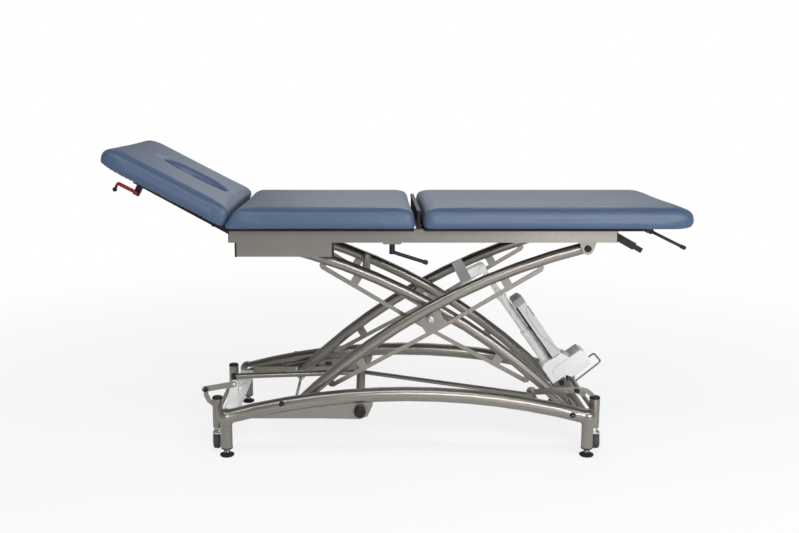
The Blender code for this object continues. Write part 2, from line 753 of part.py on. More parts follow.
def slide_brackets(side):
    """Two blocks that hold the slide channel to the base tube."""
    low, high = span(side, SLIDE_OUTSIDE - LAP, BASE_HALF_SPREAD)
    half = SLIDE_BRACKET / 2
    bottom = BASE_SLIDE.z - SLIDE_BRACKET_DROP
    places = (SLIDE_LEFT + SLIDE_BRACKET_INSET, SLIDE_RIGHT - SLIDE_BRACKET_INSET)
    return [box((x - half, low, bottom), (x + half, high, base_axis(x))) for x in places]


def bolt_caps(side):
    """Round caps over the bolts in the outer face of the base tube."""
    y = side * (BASE_HALF_SPREAD + BASE_TUBE / 2 - CAP_SINK)
    radius = CAP_DIAMETER / 2
    profile = ((radius, 0), (radius, CAP_SIDE), (radius - CAP_EDGE, CAP_SIDE + CAP_SINK))
    return [turned((x, y, base_axis(x)), (0, side, 0), profile, 8) for x in CAP_PLACES]


def side_frame(name, side):
    """An arched side tube with its posts, gusset, slide channel, stubs, caps and pivots."""
    y = side * BASE_HALF_SPREAD
    solids = [rod([(x, y, z) for x, z in arch_points()], BASE_TUBE)]
    solids += [corner_post(x, y) for x in (BASE_LEFT, BASE_RIGHT)]
    solids.append(gusset(y))
    solids.append(rod([BASE_PIVOT + Vector((0, end, 0)) for end in (side * BOSS_END, y)], PIVOT_BOSS))
    if side < 0:
        x, z = RIGHT_LEVER_PIVOT
        face = LEVER_Y - LEVER_THICKNESS - FACE_GAP
        solids.append(rod([(x, face, z), (x, y, z)], LEVER_BOSS))
        solids.append(rod([(x, LEVER_Y + FACE_GAP, z), (x, y, z)], LEVER_PIN))
    solids += slide_brackets(side)
    low = BASE_SLIDE.z - SLIDE_HEIGHT / 2
    depth = (side * SLIDE_INSIDE, side * SLIDE_OUTSIDE)
    solids.append(c_channel(SLIDE_LEFT, SLIDE_RIGHT, low, low + SLIDE_HEIGHT, *depth, SLIDE_WALL))
    for x in (BASE_LEFT, BASE_RIGHT):
        solids.append(rod([(x, side * STUB_END, CROSS_Z), (x, y, CROSS_Z)], CROSS_STUB))
    solids.append(arm_pin(BASE_PIVOT, side, BOSS_END + LAP, INNER_ARM_Y))
    solids += bolt_caps(side)
    hole = bore(ROCKER_PIVOT, y, ROCKER_DIAMETER + 2 * RUNNING_GAP, BASE_TUBE, 16)
    piece(name, "base", "frame", solids, cuts=[hole])


def arm_pin(place, side, start, arm_y):
    """A pin that runs inwards through an arm's eye, with a head behind it."""
    length = start - (arm_y - ARM_RADIUS - FACE_GAP)
    shank, head = PIN_DIAMETER / 2, PIN_HEAD_DIAMETER / 2
    profile = ((shank, 0), (shank, length), (head, length), (head, length + PIN_HEAD))
    return turned(place + Vector((0, side * start, 0)), (0, -side, 0), profile)


def left_cross_member():
    """The flat slotted bar between the left posts, with the castor lever's bracket and pin."""
    low, high = CROSS_Z - CROSS_BAR_HEIGHT / 2, CROSS_Z + CROSS_BAR_HEIGHT / 2
    left, right = BASE_LEFT - CROSS_BAR_LEFT, BASE_LEFT + CROSS_BAR_RIGHT
    bar = box((left, -CROSS_HALF, low), (right, CROSS_HALF, high))
    x, z = LEFT_LEVER_PIVOT
    near = LEVER_Y + LEVER_THICKNESS + FACE_GAP
    foot = right - LEVER_FOOT_INSET
    outline = [(foot - LEVER_FOOT, high - WELD_DEPTH), (foot, high - WELD_DEPTH)]
    outline += arc((x, z), LEVER_HALF + LEVER_EYE_WALL, 0, 180, 6)
    bracket = prism(outline, near, near + MOUNT_PLATE)
    pin = rod([(x, LEVER_Y - FACE_GAP, z), (x, near + MOUNT_PLATE / 2, z)], LEVER_PIN)
    half, reach = CROSS_SLOT_WIDTH / 2, CROSS_SLOT_LENGTH / 2
    slot = box((BASE_LEFT - half, -reach, low - CUT_REACH), (BASE_LEFT + half, reach, high + CUT_REACH))
    piece("left_cross_member", "base", "zinc", [bar, bracket, pin], cuts=[slot])


def right_cross_tube():
    """The round tube between the right posts, with the plates and pin that hold the actuator's foot."""
    tube = rod([(BASE_RIGHT, side * CROSS_HALF, CROSS_Z) for side in (-1, 1)], RIGHT_TUBE_DIAMETER)
    inner = LUG_THICKNESS / 2 + SIDE_PLAY
    low, high = CROSS_Z - MOUNT_HALF, CROSS_Z + MOUNT_HALF
    outline = [(BASE_RIGHT + MOUNT_FRONT, low), (BASE_RIGHT + MOUNT_FRONT, high)]
    outline += arc((ACTUATOR_FOOT.x, ACTUATOR_FOOT.z), MOUNT_EYE, 50, 230, 8)
    outline.append((BASE_RIGHT - MOUNT_BACK, low))
    plates = [prism(outline, *span(side, inner, inner + MOUNT_PLATE)) for side in (-1, 1)]
    reach = inner + MOUNT_PLATE + PIN_END
    pin = rod([ACTUATOR_FOOT + Vector((0, side * reach, 0)) for side in (-1, 1)], FOOT_PIN)
    piece("right_cross_tube", "base", "frame", [tube, *plates, pin])


def c_channel(left, right, low, high, open_y, back_y, wall):
    """A channel along X with its open side at open_y and its web at back_y."""
    web = back_y - math.copysign(wall, back_y)
    section = [(open_y, low), (back_y, low), (back_y, high), (open_y, high)]
    section += [(open_y, high - wall), (web, high - wall), (web, low + wall), (open_y, low + wall)]
    return loft([[(x, y, z) for y, z in section] for x in (left, right)])


def feet():
    """Rubber pads, each with its nut and the stud that screws into a post."""
    pad, nut, stud = PAD_DIAMETER / 2, NUT_DIAMETER / 2, STUD_DIAMETER / 2
    nut_top = PAD_HEIGHT + NUT_HEIGHT
    profile = ((pad - PAD_EDGE, 0), (pad, PAD_EDGE), (pad, PAD_SIDE), (nut, PAD_HEIGHT), (nut, nut_top),
               (stud, nut_top), (stud, BASE_POST_BOTTOM - FACE_GAP))
    for word, x in (("left", BASE_LEFT), ("right", BASE_RIGHT)):
        for name, side in (("near", -1), ("far", 1)):
            solid = turned((x, side * BASE_HALF_SPREAD, 0), (0, 0, 1), profile, 12)
            piece("foot_" + word + "_" + name, "base", "rubber", [solid])


# Foot rocker
def foot_rocker():
    """The cross tube through both gussets, its two bars and their end caps."""
    half = BASE_HALF_SPREAD + BASE_TUBE / 2 - ROCKER_INSET
    solids = [rod([(ROCKER_X, side * half, ROCKER_Z) for side in (-1, 1)], ROCKER_DIAMETER, 16)]
    radius = ROCKER_CAP / 2
    cap = ((radius, 0), (radius, ROCKER_CAP_SIDE), (radius - ROCKER_CAP_EDGE, ROCKER_CAP_SIDE + WELD_DEPTH))
    for side in (-1, 1):
        solids.append(turned((ROCKER_X, side * (half - LAP), ROCKER_Z), (0, side, 0), cap, 16))
    root = Vector((ROCKER_X, BAR_ROOT_Y, ROCKER_Z))
    for end, size in ((LEFT_BAR_END, LEFT_BAR_DIAMETER), (RIGHT_BAR_END, RIGHT_BAR_DIAMETER)):
        tip = Vector((*end, ROCKER_Z))
        radius = size / 2 + BAR_CAP_WALL
        cap = tuple(zip((radius, radius, size / 3), BAR_CAP_SIDES))
        solids += [rod([root, tip], size), turned(tip, tip - root, cap)]
    piece("foot_rocker", "foot_rocker", "frame", solids)


# Scissor arms
def arm_plate(rising, y):
    """The cut-out stiffener under an arm: a strip, webs and the centre lobe."""
    low, high = -STRIP_DROP - STRIP_WIDTH / 2, -STRIP_DROP + STRIP_WIDTH / 2
    end, toe = STRIP_REACH, STRIP_REACH - STRIP_TOE
    steps = [end - 2 * end * i / PLATE_STEPS for i in range(PLATE_STEPS + 1)]
    outline = [(-end, low + STRIP_END_RISE), (-toe, low + STRIP_TOE_RISE), (-STRIP_FLAT, low)]
    outline += [(STRIP_FLAT, low), (toe, low + STRIP_TOE_RISE), (end, low + STRIP_END_RISE)]
    outline += [(s, arm_axis(s) - PLATE_SINK) for s in steps]
    inner_bay = (LOBE_WIDTH / 2, WEB_PLACE - WEB_WIDTH / 2)
    outer_bay = (WEB_PLACE + WEB_WIDTH / 2, end - HOLE_END)
    holes = []
    for side in (-1, 1):
        for start, stop in (inner_bay, outer_bay):
            bottom = [(side * s, high + HOLE_RISE * s / end) for s in (start, stop)]
            top = [(side * s, arm_axis(s) - HOLE_SINK) for s in (stop, (start + stop) / 2, start)]
            holes.append(bottom + top)

    def world(loop):
        return [(p.x, p.z) for p in (arm_point(s, n, rising) for s, n in loop)]

    return prism(world(outline), y - ARM_PLATE / 2, y + ARM_PLATE / 2, [world(hole) for hole in holes])


def bore(place, y, diameter, reach=BORE_REACH, sides=12):
    """A cutter for a round hole along Y."""
    start = Vector((place.x, y - reach, place.z))
    return turned(start, (0, 1, 0), ((diameter / 2, 0), (diameter / 2, 2 * reach)), sides)


def arm(name, body, rising, y):
    """An arched arm tube with its stiffener, end eyes and centre eye."""
    steps = [-ARM_HALF + 2 * ARM_HALF * i / ARM_STEPS for i in range(ARM_STEPS + 1)]
    axis = [arm_point(s, arm_axis(s), rising) + Vector((0, y, 0)) for s in steps]
    solids = [rod(axis, ARM_DIAMETER), arm_plate(rising, y)]
    ends = [arm_point(s, -ARM_DROP, rising) for s in (-ARM_HALF, ARM_HALF)]
    for end in ends:
        solids.append(turned(end + Vector((0, y - ARM_RADIUS, 0)), (0, 1, 0),
                             ((ARM_RADIUS, 0), (ARM_RADIUS, ARM_DIAMETER))))
    solids.append(turned(CENTRE_PIVOT + Vector((0, y - EYE_WIDTH / 2, 0)), (0, 1, 0),
                         ((EYE_RADIUS, 0), (EYE_RADIUS, EYE_WIDTH))))
    holes = [bore(place, y, PIN_DIAMETER + 2 * RUNNING_GAP) for place in (*ends, CENTRE_PIVOT)]
    piece(name, body, "frame", solids, cuts=holes)


def arm_cross_tubes():
    """The tubes that tie each pair of arms; the outer one carries the actuator's upper clevis."""
    inner = INNER_ARM_Y - ARM_RADIUS - FACE_GAP
    place = arm_point(INNER_CROSS_PLACE, arm_axis(INNER_CROSS_PLACE), False)
    ends = [place + Vector((0, side * inner, 0)) for side in (-1, 1)]
    piece("inner_arm_cross_tube", "arm_b", "frame", [rod(ends, CROSS_TUBE_DIAMETER)])
    outer = OUTER_ARM_Y - ARM_RADIUS - FACE_GAP
    size = OUTER_CROSS_SIZE / 2
    middle = arm_axis(OUTER_CROSS_PLACE)
    square = ((-1, -1), (1, -1), (1, 1), (-1, 1))
    corners = [(OUTER_CROSS_PLACE + a * size, middle + b * size) for a, b in square]
    outline = [(p.x, p.z) for p in (arm_point(s, n, True) for s, n in corners)]
    solids = [prism(outline, -outer, outer)]
    edge = size - WELD_DEPTH
    root = [arm_point(OUTER_CROSS_PLACE, middle + n, True) for n in (edge, -edge)]
    lean = math.degrees(ARM_ANGLE)
    plate = [(p.x, p.z) for p in root]
    plate += arc((ACTUATOR_HEAD.x, ACTUATOR_HEAD.z), LUG_RADIUS, lean - 80, lean + 90, 6)
    near = LUG_THICKNESS / 2 + SIDE_PLAY
    far = near + MOUNT_PLATE
    for side in (-1, 1):
        solids.append(prism(plate, *span(side, near, far)))
        bolt = [ACTUATOR_HEAD + Vector((0, side * y, 0)) for y in (far - LAP, far + PIN_HEAD)]
        solids.append(rod(bolt, HEAD_BOLT, 6))
    piece("outer_arm_cross_tube", "arm_a", "frame", solids)


def centre_bolts():
    """Bolts through the crossing arms, with a spacer between each pair."""
    half = EYE_WIDTH / 2 + FACE_GAP
    start = OUTER_ARM_Y + half + PIN_HEAD
    head, shank = PIN_HEAD_DIAMETER / 2, PIN_DIAMETER / 2
    gap_start, gap_end = start - (OUTER_ARM_Y - half), start - (INNER_ARM_Y + half)
    end = start - (INNER_ARM_Y - half)
    profile = [(head - PIN_EDGE, 0), (head, PIN_EDGE), (head, PIN_HEAD), (shank, PIN_HEAD)]
    profile += [(shank, gap_start), (head, gap_start), (head, gap_end), (shank, gap_end)]
    profile += [(shank, end), (head, end), (head, end + PIN_HEAD)]
    for name, side in (("near", -1), ("far", 1)):
        place = CENTRE_PIVOT + Vector((0, side * start, 0))
        piece("centre_bolt_" + name, "arm_a", "zinc", [turned(place, (0, -side, 0), profile)])


def shoe(place, arm_y, inside, outside, half, side):
    """A guide block in a channel and the pin on it that carries an arm's end."""
    low, high = span(side, inside + SHOE_INSET, outside - SHOE_BACK)
    reach = Vector((SHOE_HALF, 0, half))
    block = box(place + Vector((0, low, 0)) - reach, place + Vector((0, high, 0)) + reach)
    start = place + Vector((0, side * (inside + SHOE_PIN), 0))
    face = inside + SHOE_PIN - (arm_y - ARM_RADIUS - FACE_GAP)
    shank, head = PIN_DIAMETER / 2, PIN_HEAD_DIAMETER / 2
    profile = ((shank, 0), (shank, face), (head, face), (head, face + PIN_HEAD))
    return [block, turned(start, (0, -side, 0), profile)]


def slide_shoes():
    """Guide shoes on the sliding arm ends, each with its own pin; an axle joins the lower pair."""
    lower = []
    face = OUTER_ARM_Y - ARM_RADIUS - FACE_GAP
    x, z = BASE_SLIDE.x, BASE_SLIDE.z - AXLE_DROP
    top = BASE_SLIDE.z + AXLE_BLOCK_RISE
    for name, side in (("near", -1), ("far", 1)):
        half = TRACK_HALF - TRACK_WALL - SHOE_PLAY
        upper = shoe(TOP_SLIDE, INNER_ARM_Y, TRACK_INSIDE, RAIL_OUTSIDE - TRACK_WALL, half, side)
        piece("top_slide_shoe_" + name, "top_shoes", "black_plastic", upper)
        half = SLIDE_HEIGHT / 2 - SLIDE_WALL - SHOE_PLAY
        lower += shoe(BASE_SLIDE, OUTER_ARM_Y, SLIDE_INSIDE, SLIDE_OUTSIDE - SLIDE_WALL, half, side)
        low, high = span(side, face - PIN_HEAD, face)
        lower.append(box((x - AXLE_BLOCK_HALF, low, z - AXLE_BLOCK_DROP), (x + AXLE_BLOCK_HALF, high, top)))
    ends = [(x, side * (face - PIN_HEAD / 2), z) for side in (-1, 1)]
    piece("base_slide_shoes", "base_shoes", "zinc", [*lower, rod(ends, SLIDE_AXLE)])


# Actuator
def along_actuator(far, side=0.0):
    """A point measured from the actuator's foot along its axis and square to it."""
    return ACTUATOR_FOOT + ACTUATOR_LINE * far + ACTUATOR_SIDE * side


def actuator_outline(points):
    """Turns (side, along) points of the actuator into (x, z)."""
    return [(p.x, p.z) for p in (along_actuator(far, side) for side, far in points)]


def push_rod():
    """The sliding rod with its collar, flat end and clamp bolt."""
    half, width = CLEVIS_HALF, LUG_THICKNESS / 2
    tube = rod([along_actuator(ROD_INNER_END), along_actuator(ROD_OUTER_END)], ROD_DIAMETER, 16)
    ends = (ROD_OUTER_END - COLLAR_LENGTH / 2, ROD_OUTER_END + COLLAR_LENGTH / 2)
    collar = rod([along_actuator(far) for far in ends], COLLAR_DIAMETER, 16)
    outline = [(-half, ROD_OUTER_END), (half, ROD_OUTER_END)] + arc((0, ACTUATOR_REACH), half, 0, 180, 6)
    clevis = prism(actuator_outline(outline), -width, width)
    bolt = along_actuator(CLEVIS_BOLT_PLACE)
    cross = rod([bolt + Vector((0, side * (width + PIN_HEAD), 0)) for side in (-1, 1)], CLEVIS_BOLT, 6)
    piece("actuator_rod", "actuator_rod", "white_plastic", [tube, collar, clevis, cross])


def motor_housing():
    """The gear and motor block with the foot lug; the rod's well runs down into it."""
    reach, top, edge = MOTOR_REACH, MOTOR_HEIGHT, MOTOR_BEVEL
    outline = [(-GEAR_HALF, MOTOR_FLOOR), (GEAR_SIDE, MOTOR_FLOOR), (MOTOR_SHOULDER, MOTOR_LOW)]
    outline += [(reach - edge, MOTOR_LOW), (reach, edge), (reach, top - edge), (reach - edge, top)]
    outline += [(MOTOR_SADDLE, top), (GEAR_TOP_SIDE, GEAR_TOP)]
    outline += [(edge - GEAR_HALF, GEAR_TOP), (-GEAR_HALF, GEAR_TOP - edge)]
    block = prism(actuator_outline(outline), -MOTOR_WIDTH / 2, MOTOR_WIDTH / 2)
    root = MOTOR_FLOOR + WELD_DEPTH
    lug_outline = arc((0, 0), LUG_RADIUS, 180, 360, 8) + [(LUG_RADIUS, root), (-LUG_RADIUS, root)]
    lug = prism(actuator_outline(lug_outline), -LUG_THICKNESS / 2, LUG_THICKNESS / 2)
    hole = ROD_DIAMETER / 2 + RUNNING_GAP
    well = turned(along_actuator(BORE_FLOOR), ACTUATOR_LINE, ((hole, 0), (hole, GEAR_TOP)), 16)
    eye = bore(ACTUATOR_FOOT, 0.0, FOOT_PIN + 2 * RUNNING_GAP)
    piece("motor_housing", "actuator", "white_plastic", [block, lug], cuts=[well, eye])


def actuator_body():
    """The tube that the rod slides in, the motor housing and the control box beside the tube."""
    start = GEAR_TOP + FACE_GAP
    hole = ROD_DIAMETER + 2 * RUNNING_GAP
    tube = pipe(along_actuator(start), ACTUATOR_LINE, TUBE_MOUTH - start, OUTER_TUBE_DIAMETER, hole)
    piece("actuator_tube", "actuator", "white_plastic", [tube])
    motor_housing()
    inner = OUTER_TUBE_DIAMETER / 2 + FACE_GAP
    far, out = start + CONTROL_LENGTH, inner + CONTROL_DEPTH
    edge, (across, down) = CONTROL_EDGE, CONTROL_BROW
    shell = [(inner, start), (out - edge, start), (out, start + edge), (out, far - down)]
    shell += [(out - across, far), (inner + edge, far), (inner, far - edge)]
    box_solid = prism(actuator_outline(shell), -CONTROL_WIDTH / 2, CONTROL_WIDTH / 2)
    piece("control_box", "actuator", "white_plastic", [box_solid])


# Padded sections
def plan(left, right, radii, inset, draw, height):
    """Points of a rounded rectangle at a height, drawn in a little between its corners."""
    corners = ((right, -1, -90), (right, 1, 0), (left, 1, 90), (left, -1, 180))
    middle = (left + right) / 2
    arcs = []
    for (x, side, turn), radius in zip(corners, radii):
        size = max(radius - inset, LEAST_RADIUS)
        away = math.copysign(1, x - middle)
        centre = (x - away * (inset + size), side * (HALF_WIDTH - inset - size))
        arcs.append(arc(centre, size, turn, turn + 90, CORNER_STEPS))
    points = []
    ways = ((-1, 0), (0, -1), (1, 0), (0, 1))
    for index, corner in enumerate(arcs):
        points += corner
        start, end = Vector(corner[-1]), Vector(arcs[(index + 1) % 4][0])
        for step in range(1, SIDE_STEPS):
            part = step / SIDE_STEPS
            bow = draw * math.sin(math.pi * part)
            points.append(start.lerp(end, part) + bow * Vector(ways[index]))
    return [(x, y, height) for x, y in points]


def cushion_solid(left, right, radii, slant=0.0, skirt=0.0):
    """A crowned pad: drawn-in sides, rolled top edge and a gentle dome; a skirt deepens it."""
    edge, top = CUSHION_EDGE, CUSHION_THICKNESS - CUSHION_CROWN
    side = top - edge
    profile = [(CUSHION_FOOT_INSET, -skirt, 0.3), (CUSHION_SIDE_INSET, CUSHION_FOOT_RISE, 0.7)]
    profile += [(0.0, side * 0.55, 1.0), (CUSHION_SIDE_INSET, side, 1.0)]
    for turn in (30, 60, 90):
        a = math.radians(turn)
        profile.append((edge * (1 - math.cos(a)), side + edge * math.sin(a), 1.0 - turn / 150))
    for inset, crown in CUSHION_DOME:
        profile.append((edge + inset, top + CUSHION_CROWN * crown, 0.0))
    rings = []
    for inset, height, draw in profile:
        start = left + slant * height / CUSHION_THICKNESS
        rings.append(plan(start, right, radii, inset, CUSHION_DRAW * draw, CUSHION_LOW + height))
    return loft(rings)


def face_slot(grow):
    """A cutter for the breathing slot: a long oval through the head section, flared at the top."""
    centre = HEAD_RIGHT - FACE_SLOT_PLACE
    turns = [2 * math.pi * i / SLOT_SIDES for i in range(SLOT_SIDES)]
    levels = [(BOARD_LOW - CUT_REACH, 0.0)]
    levels += [(TABLE_HEIGHT + height, flare) for height, flare in FACE_SLOT_ROLL]
    rings = []
    for height, flare in levels:
        a = FACE_SLOT_LENGTH / 2 + grow + FACE_SLOT_FLARE * flare
        b = FACE_SLOT_WIDTH / 2 + grow + FACE_SLOT_FLARE * flare
        rings.append([(centre + a * math.cos(t), b * math.sin(t), height) for t in turns])
    return loft(rings)


def board_solid(left, right):
    """A flat board that carries a cushion."""
    half = HALF_WIDTH - BOARD_INSET
    return box((left, -half, BOARD_LOW), (right, half, BOARD_LOW + BOARD_THICKNESS))


def sections():
    """The three cushions on their boards; the head cushion comes down over its board's edge."""
    small = CUSHION_CORNER
    pad = cushion_solid(MID_LEFT, MID_RIGHT, (small,) * 4, MID_SLANT)
    piece("mid_cushion", "top", "upholstery", [pad])
    piece("mid_board", "top", "board", [board_solid(RAIL_LEFT, MID_RIGHT - BOARD_END_INSET)])
    pad = cushion_solid(LEG_LEFT, LEG_RIGHT, (LEG_CORNER, LEG_CORNER, small, small))
    piece("leg_cushion", "leg", "upholstery", [pad])
    board = board_solid(LEG_LEFT + BOARD_END_INSET, LEG_RIGHT - LEG_BOARD_END)
    piece("leg_board", "leg", "board", [board])
    pad = cushion_solid(HEAD_LEFT, HEAD_RIGHT, (small, small, HEAD_CORNER, HEAD_CORNER), skirt=HEAD_SKIRT)
    margin = HEAD_BOARD_MARGIN
    left, right, half = HEAD_LEFT + margin, HEAD_RIGHT - margin, HALF_WIDTH - margin
    recess = box((left, -half, BOARD_LOW - BOARD_THICKNESS), (right, half, CUSHION_LOW))
    piece("head_cushion", "head", "upholstery", [pad], cuts=[recess, face_slot(0.0)])
    left, right, half = left + FACE_GAP, right - FACE_GAP, half - FACE_GAP
    board = box((left, -half, BOARD_LOW), (right, half, BOARD_LOW + BOARD_THICKNESS))
    piece("head_board", "head", "board", [board], cuts=[face_slot(BOARD_SLOT_GROWTH)])


# Top frame
def rail_tube(side):
    """A hollow rail of the top frame."""
    low, high = span(side, RAIL_INSIDE, RAIL_OUTSIDE)
    wall = RAIL_WALL
    section = [(low, RAIL_BOTTOM), (high, RAIL_BOTTOM), (high, RAIL_TOP), (low, RAIL_TOP)]
    inside = [(low + wall, RAIL_BOTTOM + wall), (high - wall, RAIL_BOTTOM + wall),
              (high - wall, RAIL_TOP - wall), (low + wall, RAIL_TOP - wall)]
    order = ((RAIL_LEFT, section), (RAIL_RIGHT, section), (RAIL_RIGHT, inside), (RAIL_LEFT, inside))
    return loft([[(x, y, z) for y, z in loop] for x, loop in order], closed=True)


def top_rails():
    """Hollow rails with the slide track, the upper pivot's bracket and pin and the head hinge's pin."""
    inner = OUTER_ARM_Y + ARM_RADIUS + SIDE_PLAY / 2
    outer = inner + BRACKET_THICKNESS
    x, z = TOP_PIVOT.x, TOP_PIVOT.z
    weld = RAIL_BOTTOM + RAIL_WALL / 2
    outline = [(x - BRACKET_HALF, weld), *arc((x, z), BRACKET_RADIUS, 200, 340, 6), (x + BRACKET_HALF, weld)]
    track_low = TOP_SLIDE.z - TRACK_HALF
    radius, head = HEAD_PIN_DIAMETER / 2, PIVOT_BOLT / 2
    length = RAIL_WALL / 2 + RAIL_INSIDE - HEAD_BAR_OUTSIDE + HEAD_BAR_WIDTH + PIN_END
    bolt = ((head, 0), (head, PIN_HEAD), (head - WELD_DEPTH, PIN_HEAD + PIN_EDGE))
    for name, side in (("near", -1), ("far", 1)):
        solids = [rail_tube(side), prism(outline, *span(side, inner, outer))]
        solids.append(arm_pin(TOP_PIVOT, side, outer + PIN_HEAD, OUTER_ARM_Y))
        solids.append(turned(TOP_PIVOT + Vector((0, side * (outer - LAP), 0)), (0, side, 0), bolt))
        depth = (side * TRACK_INSIDE, side * RAIL_OUTSIDE)
        solids.append(c_channel(TRACK_LEFT, TRACK_RIGHT, track_low, weld, *depth, TRACK_WALL))
        start = HEAD_HINGE + Vector((0, side * (RAIL_INSIDE + RAIL_WALL / 2), 0))
        solids.append(turned(start, (0, -side, 0), ((radius, 0), (radius, length))))
        if side < 0:
            half, width = LOCK_FLANGE / 2, LOCK_FLANGE_WIDTH / 2
            corner = (LOCK_X + half, LOCK_Y + width, weld)
            solids.append(box((LOCK_X - half, LOCK_Y - width, LOCK_PIVOT.z), corner))
        piece("top_rail_" + name, "top", "frame", solids)


def cross_rails():
    """Bars between the rails; the left one carries the ears that hold both gas springs' feet."""
    half = RAIL_INSIDE - FACE_GAP
    high = RAIL_TOP - CROSS_RAIL_DROP
    low = high - CROSS_RAIL_HEIGHT
    reach = CROSS_RAIL_WIDTH / 2
    for name, x in zip(("left", "middle", "right"), CROSS_RAIL_PLACES):
        solids = [box((x - reach, -half, low), (x + reach, half, high))]
        if name == "left":
            root = [(x, low + WELD_DEPTH), (x, high - WELD_DEPTH)]
            solids += spring_ears(HEAD_SPRING_FOOT, root, 90)
            solids += spring_ears(LEG_SPRING_FOOT, reversed(root), -90)
            solids += [spring_pin(foot) for foot in (HEAD_SPRING_FOOT, LEG_SPRING_FOOT)]
        piece("top_cross_rail_" + name, "top", "frame", solids)


def hinge_posts():
    """Black posts on the rails that hold the leg hinge's pins."""
    x = LEG_HINGE.x
    half, radius = LEG_POST_HALF, LEG_PIN_DIAMETER / 2
    inside = RAIL_INSIDE + RAIL_WALL
    top = LEG_HINGE.z + radius + LEG_POST_RISE
    for name, side in (("near", -1), ("far", 1)):
        low, high = span(side, inside, RAIL_OUTSIDE - RAIL_WALL)
        post = box((x - half, low, RAIL_TOP + FACE_GAP), (x + half, high, top))
        start = LEG_HINGE + Vector((0, side * (inside + WELD_DEPTH), 0))
        pin = turned(start, (0, -side, 0), ((radius, 0), (radius, LEG_PIN_LENGTH)))
        piece("leg_hinge_post_" + name, "top", "black_metal", [post, pin])


def grip_bar():
    """The black bar that slopes down from the frame's leg end, with a stepped tip."""
    root = CROSS_RAIL_PLACES[2] + CROSS_RAIL_WIDTH / 2 + FACE_GAP
    start = Vector((RAIL_RIGHT, 0.0, RAIL_TOP - GRIP_DROP - GRIP_SIZE / 2))
    slope = Vector((GRIP_RUN, 0.0, -GRIP_FALL)).normalized()
    up = Vector((GRIP_FALL, 0.0, GRIP_RUN)).normalized()
    length = math.hypot(GRIP_RUN, GRIP_FALL)
    half, tip = GRIP_SIZE / 2, length - GRIP_TIP
    thin = half - GRIP_STEP
    outline = [(root, start.z - half), (root, start.z + half)]
    upper = [(0.0, half), (tip, half), (tip, thin), (length, thin)]
    for far, side in upper + [(far, -side) for far, side in reversed(upper)]:
        point = start + slope * far + up * side
        outline.append((point.x, point.z))
    bar = prism(outline, GRIP_Y - GRIP_WIDTH / 2, GRIP_Y + GRIP_WIDTH / 2)
    piece("frame_grip_bar", "top", "black_metal", [bar])


def lock_lever():
    """The black cranked lever under the near rail."""
    x, y, z = LOCK_PIVOT
    stub = turned((x, y, z - FACE_GAP), (0, 0, -1), ((LOCK_STUB / 2, 0), (LOCK_STUB / 2, LOCK_FALL)))
    start = Vector((x, y, z - LOCK_FALL + LOCK_DIAMETER / 2))
    end = Vector((x + LOCK_RUN, y, start.z - LOCK_DROP))
    knob = tuple(zip((LOCK_TIP / 2, LOCK_TIP / 2, LOCK_TIP / 3), LOCK_TIP_SIDES))
    tip = turned(end, end - start, knob)
    piece("lock_lever", "lock_lever", "black_metal", [stub, rod([start, end], LOCK_DIAMETER), tip])


# Gas springs
def spring_ears(place, root, start):
    """Two plates beside a gas spring's eye: a half round from an angle, then the root points."""
    inner = GAS_EYE_WIDTH / 2 + EAR_PLAY
    outline = arc((place.x, place.z), EAR_RADIUS, start, start + 180, 6) + list(root)
    plates = []
    for side in (-1, 1):
        low, high = sorted((place.y + side * inner, place.y + side * (inner + GAS_PLATE)))
        plates.append(prism(outline, low, high))
    return plates


def spring_pin(place):
    """The pin through a spring's foot and its ears."""
    reach = GAS_EYE_WIDTH / 2 + EAR_PLAY + GAS_PLATE + PIN_PROUD
    return rod([place + Vector((0, side * reach, 0)) for side in (-1, 1)], GAS_PIN)


def spring_bolts(place):
    """Bolt heads outside the ears of a spring end that is left open."""
    face = GAS_EYE_WIDTH / 2 + EAR_PLAY + GAS_PLATE
    heads = []
    for side in (-1, 1):
        ends = [place + Vector((0, side * y, 0)) for y in (face - LAP, face + GAS_BOLT_HEAD)]
        heads.append(rod(ends, GAS_BOLT, 6))
    return heads


def spring_eye(place):
    """The round eye at an end of a gas spring."""
    start = place - Vector((0, GAS_EYE_WIDTH / 2, 0))
    return turned(start, (0, 1, 0), ((GAS_EYE / 2, 0), (GAS_EYE / 2, GAS_EYE_WIDTH)))


def gas_spring(name, foot, head, mouth, inner_end, floor):
    """A cylinder hinged at its foot and the rod that slides in it; distances are along the spring."""
    line = (head - foot).normalized()
    stem, barrel, hole = GAS_STEM / 2, GAS_CYLINDER / 2, GAS_ROD / 2 + RUNNING_GAP
    profile = [(stem, GAS_STEM_START), (stem, GAS_NECK), (barrel, GAS_NECK), (barrel, mouth)]
    profile += [(hole, mouth), (hole, floor)]
    pivot = bore(foot, foot.y, GAS_PIN + 2 * RUNNING_GAP)
    solids = [spring_eye(foot), turned(foot, line, profile)]
    piece(name + "_gas_cylinder", name + "_cylinder", "black_metal", solids, cuts=[pivot])
    shaft = rod([foot + line * inner_end, head], GAS_ROD)
    piece(name + "_gas_rod", name + "_rod", "chrome", [spring_eye(head), shaft])


